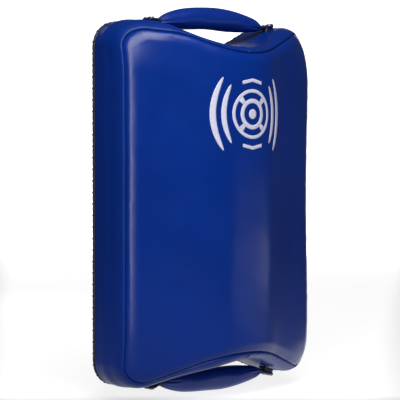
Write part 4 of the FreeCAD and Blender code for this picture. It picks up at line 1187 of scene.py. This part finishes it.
class MakeEndHandles(bpy.types.Operator):
    """Make the two end handles with their necks and tabs"""
    bl_idname = "kick_shield.end_handles"
    bl_label = "End handles"

    def execute(self, context):
        c, h = settings().cover, settings().handles
        ends = (("top", 1, h.top_z, h.top_rise, 3), ("bottom", -1, h.bottom_z, h.bottom_rise, 8))
        for name, up, hinge_z, rise, seed in ends:
            body = f"{name}_handle"
            roll = end_handle(h, f"{name}_roll", seed, up, hinge_z, rise)
            in_place(roll, body, MATERIALS["handle_leather"], [f"{name}_handle_cover"])
            filling = end_handle(h, f"{name}_roll_filling", seed, up, hinge_z, rise, h.leather)
            in_place(filling, body, MATERIALS["roll_foam"], [f"{name}_handle_foam"])
            for side, word in ((-1, "left"), (1, "right")):
                tab = end_tab(h, f"{name}_{word}_tab", side, up, hinge_z)
                in_place(tab, "shield", MATERIALS["tab_leather"])
                # The padding under each tab uses the dark tab leather as painted shade for the gap under the
                # tab.
                wedge = tab_wedge(c, h, f"{name}_{word}_tab_padding_as_shade", side, up)
                in_place(wedge, "shield", MATERIALS["tab_leather"])
                neck = end_neck(h, f"{name}_{word}_neck", side, up, hinge_z)
                neck.data.materials.append(MATERIALS["tab_leather"])
                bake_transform(neck)
            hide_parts(f"{name}_handle_tabs")
        return {"FINISHED"}


class MakeGrip(bpy.types.Operator):
    """Make the grip on the back with its leather feet"""
    bl_idname = "kick_shield.grip"
    bl_label = "Rear grip"

    def execute(self, context):
        h = settings().handles
        for name, leather, slot, node in (("grip_roll", 0.0, "handle_leather", "grip_cover"),
                                          ("grip_roll_filling", h.leather, "roll_foam", "grip_foam")):
            roll = roll_shape(h.grip_half, h.grip_radius, h.grip_rise, 0.0, 5, leather)
            depth = roll[..., 2] + h.grip_y - h.grip_rise
            roll = np.stack([roll[..., 0], depth, h.grip_z - roll[..., 1]], -1)
            skin = Skin()
            skin.add(roll, close_columns=True)
            piece = in_place(skin.build(name), "grip", MATERIALS[slot], [node])
        for side, word in ((-1, "left"), (1, "right")):
            x0 = h.grip_leg + 0.0034
            start = (side * (x0 + h.grip_foot), 0.0019)
            heading = math.pi if side > 0 else 0.0
            bend = 0.0045
            moves = [(h.grip_foot - bend, 0.0), (bend * math.pi / 2, -side * math.pi / 2),
                     (h.grip_hinge_y + 0.006 - bend, 0.0)]
            line, normal = bent_line(start, heading, moves, 0.0012)
            foot = flat_strap(f"grip_{word}_foot", line, normal * side, h.grip_z, 0.024, 0.0034, 13)
            in_place(foot, "shield", MATERIALS["tab_leather"])
        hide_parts("grip_tabs")
        return {"FINISHED"}


class MakeStraps(bpy.types.Operator):
    """Make both forearm straps: band, padding, closing strap, tail, tapes and stitching"""
    bl_idname = "kick_shield.straps"
    bl_label = "Forearm straps"

    def execute(self, context):
        s = settings().straps
        for name, z, seed in (("upper", s.upper_z, 51), ("lower", s.lower_z, 52)):
            band = strap_band(s, f"{name}_band", z)
            in_place(band, "shield", MATERIALS["strap_leather"], [f"{name}_strap_band"])
            pad = strap_pad(s, f"{name}_pad", z, seed)
            in_place(pad, "shield", MATERIALS["pad_lining"], [f"{name}_strap_pad"])
            line, normal = closure_line(s)
            closure = flat_strap(f"{name}_closure", line, normal, z, s.closure_width, s.closure_thick)
            in_place(closure, "shield", MATERIALS["webbing"], [f"{name}_strap_closure"])
            line, normal = tail_line(s)
            tail = flat_strap(f"{name}_tail", line, normal, z, s.closure_width, s.closure_thick)
            in_place(tail, f"{name}_tail", MATERIALS["webbing"], [f"{name}_strap_tail"])
            drop = -(s.closure_thick + s.tape_thick) / 2 - 0.00005
            line, normal = tail_line(s, drop, math.radians(44), s.tail_end - math.radians(3))
            hook = flat_strap(f"{name}_hooks", line, normal, z, s.closure_width - 0.004, s.tape_thick)
            in_place(hook, f"{name}_tail", MATERIALS["hook_tape"], [f"{name}_strap_hook_tape"])
            drop -= s.tape_thick + 0.00055
            line, normal = tail_line(s, drop, math.radians(38), math.radians(150))
            loops = flat_strap(f"{name}_loops", line, normal, z, s.closure_width + 0.002, s.tape_thick)
            in_place(loops, "shield", MATERIALS["loop_tape"], [f"{name}_strap_loop_tape"])
            tab = ring_tab(s, f"{name}_ring_tab", z)
            in_place(tab, "shield", MATERIALS["tab_leather"], [f"{name}_strap_ring_tab"])
            line, normal = band_line(s, s.band_thick / 2)
            sewn = edge_stitches(f"{name}_band_stitches", line, normal, z, s.band_width / 2 - 0.004)
            in_place(sewn, "shield", MATERIALS["blue_thread"])
            line, normal = tail_line(s, s.closure_thick / 2)
            sewn = edge_stitches(f"{name}_tail_stitches", line[14:], -normal[14:], z,
                                 s.closure_width / 2 - 0.003, 0.0003)
            in_place(sewn, f"{name}_tail", MATERIALS["black_thread"])
        return {"FINISHED"}


# ---- stage --------------------------------------------------------------------------------------
def soft_light(name, place, target, width, height, power, tint=(1.0, 1.0, 1.0)):
    """Rectangular soft box at a place, turned to face a target."""
    data = bpy.data.lights.new(name, "AREA")
    data.shape = "RECTANGLE"
    data.size, data.size_y, data.energy, data.color = width, height, power, tint
    lamp = bpy.data.objects.new(name, data)
    bpy.context.scene.collection.objects.link(lamp)
    aim = Vector(target) - Vector(place)
    lamp.matrix_world = Matrix.Translation(place) @ aim.to_track_quat("-Z", "Y").to_matrix().to_4x4()
    return lamp


def around(turn_degrees, distance, z):
    """A place on a circle round the shield; 0 degrees is straight in front, growing to the left."""
    a = math.radians(turn_degrees)
    return (-distance * math.sin(a), -distance * math.cos(a), z)


class MakeStage(bpy.types.Operator):
    """Make the floor with its painted glow behind the shield, the pale backdrop, the soft lights and the
    camera
    """
    bl_idname = "kick_shield.stage"
    bl_label = "Stage"

    def execute(self, context):
        g = settings().stage
        scene = context.scene
        scene.view_settings.view_transform = "Standard"
        pale = Nodes("glowing_floor")
        split = pale.add("ShaderNodeSeparateXYZ", {0: pale.place.outputs["Object"]})
        x, y = split.outputs["X"], split.outputs["Y"]
        sine, cosine = math.sin(g.turn), math.cos(g.turn)
        ahead = pale.math("ADD", pale.math("MULTIPLY", x, sine), pale.math("MULTIPLY", y, cosine))
        aside = pale.math("SUBTRACT", pale.math("MULTIPLY", x, cosine), pale.math("MULTIPLY", y, sine))
        widening = pale.math("MULTIPLY", ahead, 0.12)
        beyond = pale.math("SUBTRACT", pale.math("ABSOLUTE", aside, 0.0), widening)
        # Mask of the floor's painted glow: full in a wedge behind the shield, fading out towards the camera
        # and to the sides.
        lit = pale.math("MULTIPLY", pale.ranged(ahead, 0.0, 1.0, -0.26, -0.08),
                        pale.ranged(beyond, 1.0, 0.0, 0.30, 0.55))
        glow = pale.mixed(lit, (0.0, 0.0, 0.0), (1.0, 1.0, 1.0))
        pale.paint(pale.mixed(pale.noise(1.5), (0.30, 0.30, 0.31), (0.34, 0.34, 0.34)),
                   pale.ranged(pale.noise(3.0), 0.85, 0.95))
        pale.tree.links.new(glow, pale.shader.inputs["Emission Color"])
        spread = np.linspace(-6, 6, 13)
        x, y = np.meshgrid(spread, spread, indexing="ij")
        skin = Skin()
        skin.add(np.stack([x, y, np.full(x.shape, g.floor_z)], -1))
        floor = skin.build("floor")
        # The grey floor is lit by painted light: it glows by emission wherever the wedge mask is set.
        floor.data.materials.append(pale.fixed(Specular_IOR_Level=0.1, Emission_Strength=0.80))
        if floor.data.polygons[0].normal.z < 0:
            floor.data.flip_normals()
        wall_glow = Nodes("pale_backdrop")
        wall_glow.paint(wall_glow.mixed(wall_glow.noise(0.8), (0.9, 0.9, 0.9), (0.94, 0.94, 0.94)),
                        wall_glow.ranged(wall_glow.noise(2.0), 0.9, 1.0))
        a = g.turn + np.radians(np.linspace(-45, 18, 19))
        x, z = np.meshgrid(a, np.linspace(g.floor_z, 1.4, 9), indexing="ij")
        skin = Skin()
        skin.add(np.stack([g.backdrop * np.sin(x), g.backdrop * np.cos(x), z], -1))
        wall = skin.build("backdrop")
        wall.data.materials.append(wall_glow.fixed(Emission_Color=(1, 1, 1, 1), Emission_Strength=1.0))
        world = bpy.data.worlds.new("studio")
        world.use_nodes = True
        world.node_tree.nodes["Background"].inputs["Color"].default_value = (0.95, 0.96, 1.0, 1.0)
        world.node_tree.nodes["Background"].inputs["Strength"].default_value = g.room
        scene.world = world
        middle = (0.0, -0.08, 0.0)
        soft_light("left_box", around(50, 2.1, 0.45), (0.0, -0.08, 0.38), 0.36, 2.3, 28)
        soft_light("right_low_box", around(-42, 2.1, -0.42), (0.0, -0.08, -0.15), 2.3, 0.50, 8.0)
        soft_light("high_box", around(34, 1.75, 1.34), (0.0, -0.08, 0.15), 1.1, 1.0, 35)
        soft_light("rim_box", around(190, 2.0, 0.2), (0.0, -0.05, 0.0), 0.35, 2.0, 9)
        soft_light("over_box", around(18, 0.75, 1.15), (0.0, -0.08, 0.30), 0.7, 0.5, 9)
        flat = math.cos(g.rise)
        back = np.array([-sine * flat, -cosine * flat, math.sin(g.rise)])
        right = np.array([cosine, -sine, 0.0])
        up = np.cross(back, right)
        place = np.array(middle) + g.distance * back
        aim = np.array(middle) + g.aim_side * right + g.aim_up * up
        data = bpy.data.cameras.new("camera")
        data.lens, data.sensor_width = g.lens, 36.0
        camera = bpy.data.objects.new("camera", data)
        scene.collection.objects.link(camera)
        look = Vector(aim - place)
        camera.matrix_world = Matrix.Translation(place) @ look.to_track_quat("-Z", "Y").to_matrix().to_4x4()
        scene.camera = camera
        return {"FINISHED"}


OPERATORS = (MakeFinishes, MakeCover, MakeBack, MakeMark, MakeEndHandles, MakeGrip, MakeStraps, MakeStage)
GROUPS = (KickShieldCover, KickShieldHandles, KickShieldStraps, KickShieldFinishes, KickShieldStage,
          KickShieldSettings)


class KickShieldPanel(bpy.types.Panel):
    """Buttons and settings of the kick shield"""
    bl_idname = "VIEW3D_PT_kick_shield"
    bl_label = "Kick Shield"
    bl_space_type = "VIEW_3D"
    bl_region_type = "UI"
    bl_category = "Kick Shield"

    def draw(self, context):
        for operator in OPERATORS:
            self.layout.operator(operator.bl_idname)
        for name in ("cover", "handles", "straps", "finishes", "stage"):
            group = getattr(context.scene.kick_shield, name)
            box = self.layout.box()
            box.label(text=name.capitalize())
            for key in group.__annotations__:
                box.prop(group, key)


def register():
    for item in (*GROUPS, *OPERATORS, KickShieldPanel):
        bpy.utils.register_class(item)
    bpy.types.Scene.kick_shield = PointerProperty(type=KickShieldSettings)


def unregister():
    del bpy.types.Scene.kick_shield
    for item in reversed((*GROUPS, *OPERATORS, KickShieldPanel)):
        bpy.utils.unregister_class(item)


def main():
    register()
    for operator in OPERATORS:
        group, name = operator.bl_idname.split(".")
        getattr(getattr(bpy.ops, group), name)()


if __name__ == "__main__":
    main()
